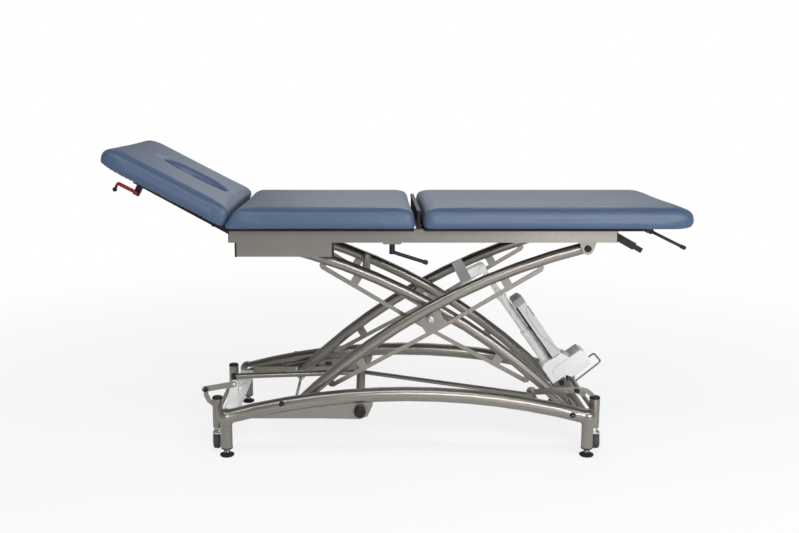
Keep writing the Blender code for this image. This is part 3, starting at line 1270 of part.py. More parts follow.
# Head section
def head_frame():
    """Two side bars on the hinge, two cross bars, the gas spring's ears and the release lever's block."""
    x, z = HEAD_HINGE.x, HEAD_HINGE.z
    high = BOARD_LOW - FACE_GAP
    low = high - HEAD_BAR_HEIGHT
    end = x - HEAD_BAR_LENGTH
    outline = [(end, low), *arc((x, z), HEAD_EYE_RADIUS, -110, 150, 12)]
    outline += [(x - HEAD_NECK[0], z + HEAD_EYE_RADIUS / 2), (x - HEAD_NECK[1], high), (end, high)]
    inner = HEAD_BAR_OUTSIDE - HEAD_BAR_WIDTH
    solids = [prism(outline, *span(side, inner, HEAD_BAR_OUTSIDE)) for side in (-1, 1)]
    half, weld = HEAD_BAR_WIDTH / 2, inner + WELD_DEPTH
    for reach in HEAD_CROSS_REACHES:
        solids.append(box((x - reach - half, -weld, low), (x - reach + half, weld, high)))
    ear_x = x - HEAD_CROSS_REACHES[0]
    root = [(ear_x + EAR_ROOT, low + EAR_WELD), (ear_x - EAR_ROOT, low + EAR_WELD)]
    solids += spring_ears(HEAD_SPRING_HEAD, root, 180) + spring_bolts(HEAD_SPRING_HEAD)
    px, py, pz = RELEASE_PIVOT
    half, width = RELEASE_BLOCK / 2, RELEASE_WIDTH / 2
    solids.append(box((px - half, py - width, pz - half), (px + half, py + width, low + RELEASE_WELD)))
    start = Vector((px, py - width + PIN_PROUD, pz))
    length = RELEASE_THICKNESS + PIN_PROUD + 2 * FACE_GAP
    pin = turned(start, (0, -1, 0), ((RELEASE_PIN / 2, 0), (RELEASE_PIN / 2, length)))
    middle = HEAD_BAR_OUTSIDE - HEAD_BAR_WIDTH / 2
    size = HEAD_PIN_DIAMETER + 2 * RUNNING_GAP
    bores = [bore(HEAD_HINGE, side * middle, size, HEAD_BAR_WIDTH) for side in (-1, 1)]
    piece("head_frame", "head", "black_metal", [*solids, pin], cuts=bores)


def release_lever():
    """The red lever under the head section: a plate with a cranked end and a black ball below it."""
    x, y, z = RELEASE_PIVOT
    near = y - RELEASE_WIDTH / 2 - FACE_GAP
    far = near - RELEASE_THICKNESS
    middle = (near + far) / 2
    half, bottom = RELEASE_HALF, z - RELEASE_HOOK
    tip = x - RELEASE_LENGTH
    inside, outside = tip + RELEASE_HOOK_SIDE, tip - half
    outline = arc((x, z), half, -90, 90, 6) + [(tip, z + half), (outside, z), (outside, bottom)]
    outline += [(inside, bottom), (inside, z - half)]
    radius = RELEASE_KNOB / 2
    centre = Vector(((inside + outside) / 2, middle, bottom - radius + WELD_DEPTH))
    turns = [math.radians(turn) for turn in BALL_RINGS]
    ball = turned(centre, (0, 0, 1), [(radius * math.sin(a), -radius * math.cos(a)) for a in turns], 10)
    hole = bore(RELEASE_PIVOT, middle, RELEASE_PIN + 2 * RUNNING_GAP)
    solids = [prism(outline, far, near), ball]
    piece("head_release_lever", "head_release_lever", "red_plastic", solids, cuts=[hole])


# Leg section
def leg_frame():
    """The hinge bar in the gap between the cushions, two strips under the board and their brackets."""
    x, z = LEG_HINGE.x, LEG_HINGE.z
    high = BOARD_LOW - FACE_GAP
    low = high - LEG_STRIP_THICKNESS
    half, width = LEG_BAR_THICKNESS / 2, RAIL_INSIDE - LAP
    top = z + LEG_PIN_DIAMETER / 2 + LEG_POST_RISE
    solids = [box((x - half, -width, low), (x + half, width, top))]
    right = LEG_RIGHT - LEG_BOARD_END - LEG_STRIP_END
    reach = LEG_STRIP_WIDTH / 2
    for side in (-1, 1):
        near, far = span(side, LEG_STRIP_Y - reach, LEG_STRIP_Y + reach)
        solids.append(box((x, near, low), (right, far, high)))
    place = LEG_SPRING_HEAD
    outer = LEG_STRIP_Y - reach + WELD_DEPTH
    solids.append(box((place.x - reach, -outer, low), (place.x + reach, outer, high)))
    root = [(place.x + EAR_ROOT, low + WELD_DEPTH), (place.x - EAR_ROOT, low + WELD_DEPTH)]
    solids += spring_ears(place, root, 180) + spring_bolts(place)
    hx, hy, hz = LEG_HANDLE_PIVOT
    block, radius = LEG_HANDLE_BLOCK / 2, LEG_HANDLE_DIAMETER / 2
    face = hy + radius + FACE_GAP
    solids.append(box((hx - block, face, hz - block), (hx + block, -LEG_STRIP_Y, high)))
    solids.append(rod([(hx, hy - radius, hz), (hx, face + radius, hz)], LEG_HANDLE_PIN, 10))
    hole = LEG_PIN_DIAMETER / 2 + RUNNING_GAP
    cuts = []
    for side in (-1, 1):
        start = LEG_HINGE + Vector((0, side * (RAIL_INSIDE + CUT_REACH), 0))
        cuts.append(turned(start, (0, -side, 0), ((hole, 0), (hole, LEG_PIN_LENGTH + CUT_REACH))))
    piece("leg_frame", "leg", "black_metal", solids, cuts=cuts)


def leg_handle():
    """The thin black handle that slopes out under the leg end."""
    x, y, z = LEG_HANDLE_PIVOT
    start = Vector(LEG_HANDLE_PIVOT)
    end = start + Vector((LEG_HANDLE_RUN, 0, -LEG_HANDLE_FALL))
    line = (end - start).normalized()
    radius, round_hub = LEG_HANDLE_DIAMETER / 2, LEG_HANDLE_HUB / 2
    hub = turned((x, y - radius, z), (0, 1, 0), ((round_hub, 0), (round_hub, 2 * radius)))
    grip = radius + LEG_HANDLE_GRIP
    tip = turned(end, line, tuple(zip((grip, grip, radius), LEG_HANDLE_TIP)))
    hole = bore(LEG_HANDLE_PIVOT, y, LEG_HANDLE_PIN + 2 * RUNNING_GAP)
    stem = rod([start + line * LEG_HANDLE_PIN, end], LEG_HANDLE_DIAMETER)
    piece("leg_handle", "leg_handle", "black_metal", [hub, stem, tip], cuts=[hole])


# Castors
def carriage(word, strap):
    """Two castor posts joined by a cross rod, with the strap that the lever pulls."""
    x = CASTOR_X[word]
    radius = CASTOR_POST / 2
    profile = [(radius, CASTOR_POST_LOW), (radius, CASTOR_POST_TOP)]
    profile.append((radius - CASTOR_CAP_EDGE, CASTOR_POST_TOP + CASTOR_CAP))
    solids = [turned((x, y, 0), (0, 0, 1), profile, 14) for y in CASTOR_SIDES.values()]
    solids.append(rod([(x, y, CASTOR_ROD_Z) for y in CASTOR_SIDES.values()], CASTOR_ROD))
    piece("castor_carriage_" + word, "castor_" + word, "frame", [*solids, *strap])


def strap_plate(points, low_y, high_y):
    """A curved flat strap: a band of one width along a run of (x, z) points."""
    run = [Vector((x, 0.0, z)) for x, z in points]
    last = len(run) - 1
    upper, lower = [], []
    for i, point in enumerate(run):
        way = (run[min(i + 1, last)] - run[max(i - 1, 0)]).normalized()
        across_way = Vector((-way.z, 0.0, way.x)) * STRAP_HALF
        upper.append(point + across_way)
        lower.append(point - across_way)
    return prism([(p.x, p.z) for p in [*upper, *reversed(lower)]], low_y, high_y)


def lever_bolt(place, strap_face, far_face):
    """A bolt fixed in the strap that reaches through the lever, with a head beyond it."""
    x, z = place
    shank, head = LEVER_PIN / 2, LEVER_HEAD / 2
    length = far_face - strap_face + FACE_GAP
    profile = ((shank, -WELD_DEPTH), (shank, length), (head, length), (head, length + WELD_DEPTH))
    return turned((x, strap_face, z), (0, 1, 0), profile)


def castor_sets():
    """A swivel fork and a wheel under each castor post."""
    for word in CASTOR_X:
        for name, y in CASTOR_SIDES.items():
            castor(word + "_" + name, CASTOR_X[word], y)


def castor(body, x, y):
    """A swivel fork and its wheel; the wheel turns about X and trails towards the near side."""
    centre = Vector((x, y - WHEEL_TRAIL, WHEEL_Z))
    crown_top = CASTOR_POST_LOW - FACE_GAP
    half = WHEEL_WIDTH / 2 + FORK_PLAY
    reach = half + FORK_PLATE
    low = WHEEL_Z + WHEEL_DIAMETER / 2 + FORK_PLAY
    high = low + BRIDGE_THICKNESS
    front, back = centre.y - BRIDGE_FRONT, y + BRIDGE_BACK
    crown = turned((x, y, 0), (0, 0, 1), ((FORK_CROWN / 2, low), (FORK_CROWN / 2, crown_top)))
    solids = [crown, box((x - reach, front, low), (x + reach, back, high))]
    cheek = [*arc((centre.y, centre.z), FORK_TIP, 180, 360, 6), (back, high), (front, high)]
    for side in (-1, 1):
        ends = sorted((x + side * half, x + side * reach))
        solids.append(loft([[(end, py, pz) for py, pz in cheek] for end in ends]))
    solids.append(rod([centre + Vector((side * reach, 0, 0)) for side in (-1, 1)], AXLE_DIAMETER, 8))
    piece("castor_fork_" + body, "fork_" + body, "zinc", solids)
    radius, hole, width = WHEEL_DIAMETER / 2, AXLE_DIAMETER / 2 + RUNNING_GAP, WHEEL_WIDTH
    face = radius - TYRE_EDGE
    profile = [(face, 0), (radius, TYRE_SHOULDER), (radius, width - TYRE_SHOULDER), (face, width)]
    profile += [(hole, width), (hole, 0)]
    wheel = turned(centre - Vector((width / 2, 0, 0)), (1, 0, 0), profile, 16, hollow=True)
    piece("castor_wheel_" + body, "wheel_" + body, "rubber", [wheel])


def lever_outline(start, end, half):
    """A bar with round ends between two (x, z) points."""
    way = math.degrees(math.atan2(end[1] - start[1], end[0] - start[0]))
    return arc(end, half, way - 90, way + 90, 8) + arc(start, half, way + 90, way + 270, 8)


def left_castor_lever():
    """A bar between its pivot and the strap's bolt, which runs in a short slot."""
    low, high = LEVER_Y, LEVER_Y + LEVER_THICKNESS
    pivot = Vector((LEFT_LEVER_PIVOT[0], 0.0, LEFT_LEVER_PIVOT[1]))
    bolt = Vector((LEFT_BOLT[0], 0.0, LEFT_BOLT[1]))
    end = bolt + (bolt - pivot).normalized() * LEFT_SLOT
    tip = (end.x, end.z)
    plate = prism(lever_outline(LEFT_LEVER_PIVOT, tip, LEVER_HALF), low, high)
    slot_outline = lever_outline(LEFT_BOLT, tip, LEVER_PIN / 2 + SLOT_PLAY)
    slot = prism(slot_outline, low - CUT_REACH, high + CUT_REACH)
    hole = bore(pivot, (low + high) / 2, LEVER_PIN + 2 * RUNNING_GAP)
    piece("castor_lever_left", "castor_lever_left", "frame", [plate], cuts=[slot, hole])


def right_castor_lever():
    """A bent bar from its pivot past the strap's bolt to the shaft of the wire pedal."""
    low, high = LEVER_Y - LEVER_THICKNESS, LEVER_Y
    middle = (low + high) / 2
    pivot = Vector((RIGHT_LEVER_PIVOT[0], 0.0, RIGHT_LEVER_PIVOT[1]))
    bolt = Vector((RIGHT_BOLT[0], 0.0, RIGHT_BOLT[1]))
    bars = [prism(lever_outline(RIGHT_LEVER_PIVOT, RIGHT_BOLT, LEVER_HALF), low, high),
            prism(lever_outline(RIGHT_BOLT, PEDAL_SHAFT, LEVER_HALF), low, high)]
    sx, sz = PEDAL_SHAFT
    ex, ez = PEDAL_END
    half = PEDAL_HALF_WIDTH
    bars.append(rod([(sx, low + LAP, sz), (sx, half + PEDAL_OVERRUN, sz)], PEDAL_SHAFT_DIAMETER))
    run = bend([(sx, -half, sz), (ex, -half, ez), (ex, half, ez), (sx, half, sz)], PEDAL_BEND)
    bars.append(rod(run, PEDAL_WIRE, 6))
    holes = [bore(pivot, middle, LEVER_PIN + 2 * RUNNING_GAP), bore(bolt, middle, LEVER_PIN + 2 * BOLT_PLAY)]
    piece("castor_lever_right", "castor_lever_right", "frame", bars, cuts=holes)


def castor_strap(bolt, offsets, face, far_face):
    """A curved strap with its eye and the bolt that the lever holds; its back lies on a face."""
    low, high = face - STRAP_THICKNESS, face
    x, z = bolt
    radius = STRAP_HALF + STRAP_EYE_WALL
    eye = turned((x, low, z), (0, 1, 0), ((radius, 0), (radius, STRAP_THICKNESS)))
    run = [(x + across_x, z + up) for across_x, up in offsets]
    return [strap_plate(run, low, high), eye, lever_bolt(bolt, high, far_face)]


def castors():
    """Both carriages with their straps, the levers, forks and wheels."""
    left_face = LEVER_Y - FACE_GAP
    carriage("left", castor_strap(LEFT_BOLT, LEFT_STRAP, left_face, LEVER_Y + LEVER_THICKNESS))
    right_face = LEVER_Y - LEVER_THICKNESS - FACE_GAP
    carriage("right", castor_strap(RIGHT_BOLT, RIGHT_STRAP, right_face, LEVER_Y))
    left_castor_lever()
    right_castor_lever()
    castor_sets()


# Assembly
def build_joints():
    """An empty for the base and one for each body that moves on it."""
    joint("base", (0.0, 0.0, 0.0))
    joint("foot_rocker", ROCKER_PIVOT, "base")
    joint("arm_b", BASE_PIVOT, "base")
    joint("arm_a", CENTRE_PIVOT, "arm_b")
    joint("top", TOP_PIVOT, "arm_a")
    joint("top_shoes", TOP_SLIDE, "arm_b")
    joint("base_shoes", BASE_SLIDE, "arm_a")
    joint("actuator", ACTUATOR_FOOT, "base")
    joint("actuator_rod", ACTUATOR_FOOT, "actuator")
    joint("head", HEAD_HINGE, "top", HEAD_ANGLE)
    joint("head_release_lever", RELEASE_PIVOT, "head")
    joint("head_cylinder", HEAD_SPRING_FOOT, "top")
    joint("head_rod", HEAD_SPRING_FOOT, "head_cylinder")
    joint("leg", LEG_HINGE, "top")
    joint("leg_handle", LEG_HANDLE_PIVOT, "leg")
    joint("leg_cylinder", LEG_SPRING_FOOT, "top")
    joint("leg_rod", LEG_SPRING_FOOT, "leg_cylinder")
    joint("lock_lever", LOCK_PIVOT, "top")
    joint("castor_lever_left", (LEFT_LEVER_PIVOT[0], LEVER_Y, LEFT_LEVER_PIVOT[1]), "base")
    joint("castor_lever_right", (RIGHT_LEVER_PIVOT[0], LEVER_Y, RIGHT_LEVER_PIVOT[1]), "base")
    for word, x in CASTOR_X.items():
        joint("castor_" + word, (x, 0.0, CASTOR_ROD_Z), "base")
        for name, y in CASTOR_SIDES.items():
            fork = "fork_" + word + "_" + name
            joint(fork, (x, y, CASTOR_POST_LOW), "castor_" + word)
            joint("wheel_" + word + "_" + name, (x, y - WHEEL_TRAIL, WHEEL_Z), fork)


def turned_about_head(place):
    """Where a point drawn on the flat head section comes to lie with the section raised."""
    return HEAD_HINGE + Matrix.Rotation(HEAD_ANGLE, 3, "Y") @ (place - HEAD_HINGE)


def centre_on_floor():
    """Moves the base so that the whole couch is centred on X and Y."""
    bpy.context.view_layer.update()
    solids = [obj for obj in bpy.data.objects if obj.type == "MESH"]
    corners = [obj.matrix_world @ Vector(corner) for obj in solids for corner in obj.bound_box]
    low = Vector([min(corner[i] for corner in corners) for i in range(3)])
    high = Vector([max(corner[i] for corner in corners) for i in range(3)])
    shift = -(low + high) / 2
    EMPTIES["base"].location = (shift.x, shift.y, 0.0)
    bpy.context.view_layer.update()


clear_scene()
MATERIALS = {name: material(name, *values) for name, values in LOOKS.items()}
build_joints()
side_frame("side_frame_near", -1)
side_frame("side_frame_far", 1)
left_cross_member()
right_cross_tube()
feet()
foot_rocker()
for word, way in (("near", -1), ("far", 1)):
    arm("outer_arm_" + word, "arm_a", True, way * OUTER_ARM_Y)
    arm("inner_arm_" + word, "arm_b", False, way * INNER_ARM_Y)
arm_cross_tubes()
centre_bolts()
slide_shoes()
push_rod()
actuator_body()
top_rails()
cross_rails()
hinge_posts()
grip_bar()
lock_lever()
sections()
head_frame()
release_lever()
gas_spring("head", HEAD_SPRING_FOOT, turned_about_head(HEAD_SPRING_HEAD),
           HEAD_SPRING_MOUTH, HEAD_ROD_START, HEAD_SPRING_FLOOR)
leg_frame()
leg_handle()
gas_spring("leg", LEG_SPRING_FOOT, LEG_SPRING_HEAD,
           LEG_SPRING_MOUTH, LEG_ROD_START, LEG_SPRING_FLOOR)
castors()
centre_on_floor()
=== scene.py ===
"""Looks of the electric therapy couch: upholstery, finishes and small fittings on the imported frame."""
import json
import math

import bmesh
import bpy
import numpy as np
from mathutils import Matrix, Vector


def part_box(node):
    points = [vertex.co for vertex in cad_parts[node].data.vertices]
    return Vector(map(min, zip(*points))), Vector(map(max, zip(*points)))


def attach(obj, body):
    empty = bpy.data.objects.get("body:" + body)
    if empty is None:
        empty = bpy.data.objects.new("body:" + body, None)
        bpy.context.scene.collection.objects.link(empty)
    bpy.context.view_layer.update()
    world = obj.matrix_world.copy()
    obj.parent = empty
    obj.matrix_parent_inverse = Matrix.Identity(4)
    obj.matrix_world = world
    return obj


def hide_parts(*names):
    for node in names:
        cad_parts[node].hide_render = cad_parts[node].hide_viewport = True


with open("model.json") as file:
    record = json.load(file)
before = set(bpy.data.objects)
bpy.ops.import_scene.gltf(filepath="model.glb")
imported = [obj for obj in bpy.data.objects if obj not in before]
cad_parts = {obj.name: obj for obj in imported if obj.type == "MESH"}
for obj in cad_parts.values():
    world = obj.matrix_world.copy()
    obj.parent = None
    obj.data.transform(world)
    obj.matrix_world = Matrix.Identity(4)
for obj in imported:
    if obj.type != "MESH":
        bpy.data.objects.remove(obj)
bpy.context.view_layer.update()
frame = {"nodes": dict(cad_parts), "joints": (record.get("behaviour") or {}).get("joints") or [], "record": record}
NODES = frame["nodes"]
PIVOTS = {j["name"]: Vector(j["pos_m"]) for j in frame["joints"] if "pos_m" in j}
AXES = {j["name"]: Vector(j["axis"]) for j in frame["joints"]}

# Photograph and camera
IMAGE_WIDTH = 799
FOCAL_PIXELS = 968
PRINCIPAL_COLUMN = 370
SENSOR_WIDTH = 36.0
CAMERA_PLACE = (-0.0963, -3.5134, 1.2507)
CAMERA_PITCH = math.radians(10.22)

# Studio
ROOM_LIGHT = 0.54
ROOM_BANDS = ((0.0, 0.46), (0.20, 0.42), (0.50, 0.24), (0.80, 0.14), (1.0, 0.12))
BACKDROP = (1.0, 1.0, 1.0, 1.0)
FLOOR_SHADE = (0.88, 0.88, 0.885, 1.0)
FLOOR_GLOW = 0.78
FLOOR_ROUGHNESS = 0.6
FLOOR_SPECULAR = 0.1
FLOOR_HALF = 40.0
FLOOR_DROP = 0.0004
FADE_START = 1.2
FADE_END = 4.0

# Soft boxes: a place, a point to face, a width and height, and a power
LAMPS = {
    "top_box": ((-0.2, -1.6, 3.0), (0, 0, 0.5), (3.4, 0.45), 26),
    "front_box": ((1.6, -3.3, 1.95), (0.8, 0, 0.5), (3.6, 0.50), 70),
    "back_box": ((0.6, 3.0, 2.4), (0, 0, 0.5), (2.6, 0.8), 14),
    "side_box": ((1.7, -4.6, 0.35), (0.6, -0.3, 0.7), (1.4, 0.6), 8),
}

# Cushions: an end is how far it is drawn out, and over what length
VOXEL = 0.006
SHRINK = 0.003
SWELL_CAP = 0.0024
CLOTH_FRAMES = 14
CLOTH_PRESSURE = 3.0
CLOTH_QUALITY = 5
CLOTH_MASS = 0.3
CLOTH_STRETCH = 30
CLOTH_SHEAR = 15
CLOTH_BEND = 2.0
NO_SHIFT = 1e-9
SMOOTH_STEP = 0.5
SMOOTH_ROUNDS = 3
LAST_ROUNDS = 2
ROLL_ROUNDS = 36
ROLL_START = 0.10
ROLL_END = 0.50
HINGE_FADE = 0.040
HINGE_SHARE = 0.12
MID_KEEP = 0.055
HEAD_KEEP = 0.020
MID_END = (0.004, 0.060)
LEG_END = (0.022, 0.220)
HEAD_OUTER_END = (0.022, 0.200)
HEAD_HINGE_END = (0.006, 0.060)
NOSE_LENGTH = 0.060
NOSE_FADE = 0.045
NOSE_ROUNDS = 30
WRAP = 0.0048
WRAP_FADE = 0.014
HEAD_LOWER = 0.012
TIP_RADIUS = 0.022
TIP_FADE = 0.045
SLOT_PLACE = 0.190
SLOT_HALF_LENGTH = 0.135
SLOT_HALF_WIDTH = 0.075
SLOT_FADE = 0.45
SLOT_SHARE = 0.20
BOARD_MERGE = 0.00001
MID_BOARD_CUT = 0.002
LEG_BOARD_CUT = 0.050
HEAD_BOARD_CUT = 0.160
FLAT_LIMIT = 0.75

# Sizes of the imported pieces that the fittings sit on
HEAD_TILT = math.radians(27.6)
RAIL_HEIGHT = 0.045
RAIL_WIDTH = 0.030
RAIL_WALL = 0.002
TRACK_LEFT_INSET = 0.021
TRACK_LENGTH = 0.329
TRACK_DEPTH = 0.040
TRACK_HEIGHT = 0.048
BASE_TUBE_FACE = 0.325
BASE_HALF_SPREAD = 0.300
BASE_CORNER_INSET = 0.043
POST_BOTTOM = 0.030
POST_RADIUS = 0.020
CASTOR_POST_RADIUS = 0.0185
CASTOR_Y = 0.210
CROSS_TUBE_END = 0.2657
MOTOR_FACE = 0.042
CONTROL_FACE = 0.046
CONTROL_INSIDE = 0.0188
CONTROL_OUTSIDE = 0.0608
CONTROL_BOTTOM = 0.1043
CONTROL_TOP = 0.3663
WHEEL_HALF = 0.011

# Fittings
CAP_PLATE = 0.003
CAP_BEVEL = 0.0008
PLUG_DEPTH = 0.012
PLUG_PLAY = 0.0004
ROUND_SIDES = 32
SAME_SPOT = 1e-6
SEAM_HALF = 0.0006
SEAM_RISE = 0.0003
VENT_COUNT = 5
VENT_STEP = 0.0091
TRACK_LIP = 0.0032
TRACK_LIP_THICK = 2 * CAP_BEVEL
TRACK_LIP_BEVEL = CAP_BEVEL / 2

# Shares of a cap's radius or height, of a collar's thickness and of a profile's sides
CAP_WALL = 0.6
CAP_CROWN = 0.78
CAP_ROUND = 0.2
DIMPLE_RIM = 0.34
DIMPLE_FLOOR = 0.24
COLLAR_EDGE = 0.3
CORNER_REACH = 0.45

# Shading and looks
SMOOTH_ANGLE = math.radians(38)
SLIVER = 0.0001
NO_LENGTH = 1e-12
SPOT_DIGITS = 5
NOISE_LOW = 0.30
NOISE_HIGH = 0.70


# Material building
def tinted(shade, factor):
    """A colour made lighter or darker."""
    return tuple(part * factor for part in shade)


class Look:
    """A procedural material: a shader and the nodes that drive it, in the object's own coordinates."""

    def __init__(self, name, metallic=0.0, specular=0.5):
        self.material = bpy.data.materials.new(name)
        self.material.use_nodes = True
        self.tree = self.material.node_tree
        self.shader = self.tree.nodes["Principled BSDF"]
        self.shader.inputs["Metallic"].default_value = metallic
        self.shader.inputs["Specular IOR Level"].default_value = specular
        self.place = self.tree.nodes.new("ShaderNodeTexCoord").outputs["Object"]

    def link(self, source, target):
        self.tree.links.new(source, target)

    def stretched(self, scale):
        node = self.tree.nodes.new("ShaderNodeMapping")
        node.inputs["Scale"].default_value = scale
        self.link(self.place, node.inputs["Vector"])
        return node.outputs["Vector"]

    def noise(self, scale, detail=3.0, place=None):
        node = self.tree.nodes.new("ShaderNodeTexNoise")
        node.inputs["Scale"].default_value = scale
        node.inputs["Detail"].default_value = detail
        self.link(place or self.place, node.inputs["Vector"])
        return node.outputs["Fac"]

    def cells(self, scale):
        node = self.tree.nodes.new("ShaderNodeTexVoronoi")
        node.feature = "SMOOTH_F1"
        node.inputs["Scale"].default_value = scale
        self.link(self.place, node.inputs["Vector"])
        return node.outputs["Distance"]

    def spread(self, value, low, high):
        node = self.tree.nodes.new("ShaderNodeMapRange")
        node.inputs["From Min"].default_value = NOISE_LOW
        node.inputs["From Max"].default_value = NOISE_HIGH
        node.inputs["To Min"].default_value = low
        node.inputs["To Max"].default_value = high
        self.link(value, node.inputs["Value"])
        return node.outputs["Result"]

    def colour(self, value, shade, dark, light, low=NOISE_LOW, high=NOISE_HIGH):
        node = self.tree.nodes.new("ShaderNodeValToRGB")
        stops = ((low, tinted(shade, dark)), (high, tinted(shade, light)))
        for element, (place, tint) in zip(node.color_ramp.elements, stops):
            element.position = place
            element.color = (*tint, 1.0)
        self.link(value, node.inputs["Fac"])
        self.link(node.outputs["Color"], self.shader.inputs["Base Color"])

    def roughness(self, value, low, high):
        self.link(self.spread(value, low, high), self.shader.inputs["Roughness"])

    def bump(self, value, strength, depth, below=None):
        node = self.tree.nodes.new("ShaderNodeBump")
        node.inputs["Strength"].default_value = strength
        node.inputs["Distance"].default_value = depth
        self.link(value, node.inputs["Height"])
        if below:
            self.link(below, node.inputs["Normal"])
        self.link(node.outputs["Normal"], self.shader.inputs["Normal"])
        return node.outputs["Normal"]


def painted_look(name, shade, metallic, low, high, specular=0.5):
    """Powder coat: slight colour drift, uneven gloss and a fine orange peel."""
    look = Look(name, metallic, specular)
    look.colour(look.noise(scale=4.0, detail=2.0), shade, dark=0.96, light=1.04)
    look.roughness(look.noise(scale=9.0), low, high)
    look.bump(look.noise(scale=900.0, detail=2.0), strength=0.02, depth=0.0002)
    return look.material


def plated_look(name, shade, low, high):
    """Zinc or chrome plate: faint drawing lines and patches of darker metal."""
    look = Look(name, metallic=1.0)
    lines = look.noise(scale=60.0, place=look.stretched((1.0, 12.0, 12.0)))
    look.colour(look.noise(scale=18.0, detail=4.0), shade, dark=0.86, light=1.0)
    look.roughness(lines, low, high)
    look.bump(lines, strength=0.04, depth=0.0003)
    return look.material


def plastic_look(name, shade, low, high, specular=0.45):
    """Moulded plastic: spark-eroded grain and a little gloss drift."""
    look = Look(name, specular=specular)
    look.colour(look.noise(scale=9.0), shade, dark=0.94, light=1.05)
    look.roughness(look.noise(scale=25.0, detail=4.0), low, high)
    look.bump(look.noise(scale=1400.0, detail=2.0), strength=0.10, depth=0.0003)
    return look.material


def leather_look(name, shade):
    """Coated upholstery cloth: pebbled grain over soft unevenness, with a low sheen."""
    look = Look(name, specular=0.58)
    look.shader.inputs["Sheen Weight"].default_value = 0.05
    look.shader.inputs["Sheen Roughness"].default_value = 0.5
    look.colour(look.noise(scale=5.0, detail=5.0), shade, dark=0.93, light=1.06, low=0.25, high=0.75)
    look.roughness(look.noise(scale=220.0), low=0.38, high=0.47)
    soft = look.bump(look.noise(scale=24.0), strength=0.05, depth=0.004)
    look.bump(look.cells(scale=620.0), strength=0.16, depth=0.0006, below=soft)
    return look.material


def rubber_look(name, shade, low, high):
    """Dull rubber with a fine grain."""
    look = Look(name, specular=0.35)
    look.colour(look.noise(scale=30.0, detail=4.0), shade, dark=0.8, light=1.3)
    look.roughness(look.noise(scale=50.0, detail=4.0), low, high)
    look.bump(look.noise(scale=700.0, detail=2.0), strength=0.15, depth=0.0004)
    return look.material


def board_look(name, shade):
    """Black-faced board with a faint straight grain."""
    look = Look(name, specular=0.3)
    grain = look.noise(scale=30.0, detail=5.0, place=look.stretched((1.0, 14.0, 14.0)))
    look.colour(grain, shade, dark=0.7, light=1.5)
    look.roughness(grain, low=0.6, high=0.8)
    look.bump(grain, strength=0.08, depth=0.0004)
    return look.material


LOOKS = {
    "frame": painted_look("frame_metallic", (0.300, 0.280, 0.254), 0.85, 0.27, 0.31),
    "silver": painted_look("silver_paint", (0.86, 0.86, 0.86), 0.15, 0.30, 0.38),
    "zinc": plated_look("zinc_plate", (0.66, 0.67, 0.68), 0.22, 0.36),
    "chrome": plated_look("chrome_plate", (0.78, 0.78, 0.79), 0.06, 0.12),
    "black_metal": painted_look("black_paint", (0.010, 0.010, 0.011), 0.0, 0.34, 0.46, specular=0.35),
    "black_plastic": plastic_look("black_plastic", (0.010, 0.010, 0.011), 0.38, 0.52, specular=0.35),
    "white_plastic": plastic_look("white_plastic", (0.84, 0.845, 0.845), 0.36, 0.46),
    # A darker copy of the white plastic for the control box: painted shade, not a different plastic.
    "shaded_white_plastic": plastic_look("shaded_white_plastic", (0.62, 0.625, 0.62), 0.36, 0.46),
    "grey_plastic": plastic_look("grey_plastic", (0.36, 0.365, 0.37), 0.38, 0.50),
    "red_plastic": plastic_look("red_plastic", (0.36, 0.020, 0.010), 0.32, 0.44),
    "upholstery": leather_look("upholstery_cover", (0.050, 0.089, 0.166)),
    "board": board_look("board_facing", (0.010, 0.010, 0.011)),
    "rubber": rubber_look("black_rubber", (0.014, 0.014, 0.015), 0.55, 0.75),
    "tyre": rubber_look("grey_tyre", (0.060, 0.061, 0.064), 0.55, 0.75),
}


def points_of(mesh):
    """All the places of a mesh's corners."""
    flat = np.zeros(len(mesh.vertices) * 3)
    mesh.vertices.foreach_get("co", flat)
    return flat.reshape(-1, 3)


def shade_round(mesh):
    """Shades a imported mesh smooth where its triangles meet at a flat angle; its shape stays as it is."""
    corner = np.zeros(len(mesh.loops), int)
    mesh.loops.foreach_get("vertex_index", corner)
    place = points_of(mesh)[corner].reshape(-1, 3, 3)
    onward = np.roll(place, -1, axis=1) - place
    back = np.roll(place, 1, axis=1) - place
    normal = np.cross(onward[:, 0], back[:, 0])
    wide = np.linalg.norm(normal, axis=1) > SLIVER * np.linalg.norm(onward, axis=2).max(axis=1)
    normal /= np.maximum(np.linalg.norm(normal, axis=1, keepdims=True), NO_LENGTH)
    size = np.linalg.norm(onward, axis=2) * np.linalg.norm(back, axis=2)
    share = np.arccos(np.clip((onward * back).sum(axis=2) / np.maximum(size, NO_LENGTH), -1, 1)).ravel()
    share *= np.repeat(wide, 3)
    normal = np.repeat(normal, 3, axis=0)
    spots = np.unique(np.round(place.reshape(-1, 3), SPOT_DIGITS), axis=0, return_inverse=True)[1].ravel()
    order = np.argsort(spots, kind="stable")
    shaded = normal.copy()
    for group in np.split(order, np.flatnonzero(np.diff(spots[order])) + 1):
        alike = normal[group] @ normal[group].T > math.cos(SMOOTH_ANGLE)
        shaded[group] = alike @ (normal[group] * share[group, None])
    shaded /= np.maximum(np.linalg.norm(shaded, axis=1, keepdims=True), NO_LENGTH)
    mesh.normals_split_custom_set(shaded.tolist())


def dress_nodes():
    """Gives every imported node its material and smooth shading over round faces."""
    slots = {part["node"]: part["material_slot"] for part in frame["record"]["subparts"]}
    # The control box gets the darker copy of the white plastic, as painted shade.
    special = {"outer_arm_cross_tube": "silver", "left_cross_member": "silver", "control_box": "shaded_white_plastic"}
    special.update({name: "tyre" for name in NODES if "wheel" in name})
    for name, obj in NODES.items():
        obj.data.materials.clear()
        obj.data.materials.append(LOOKS[special.get(name, slots[name])])
        shade_round(obj.data)


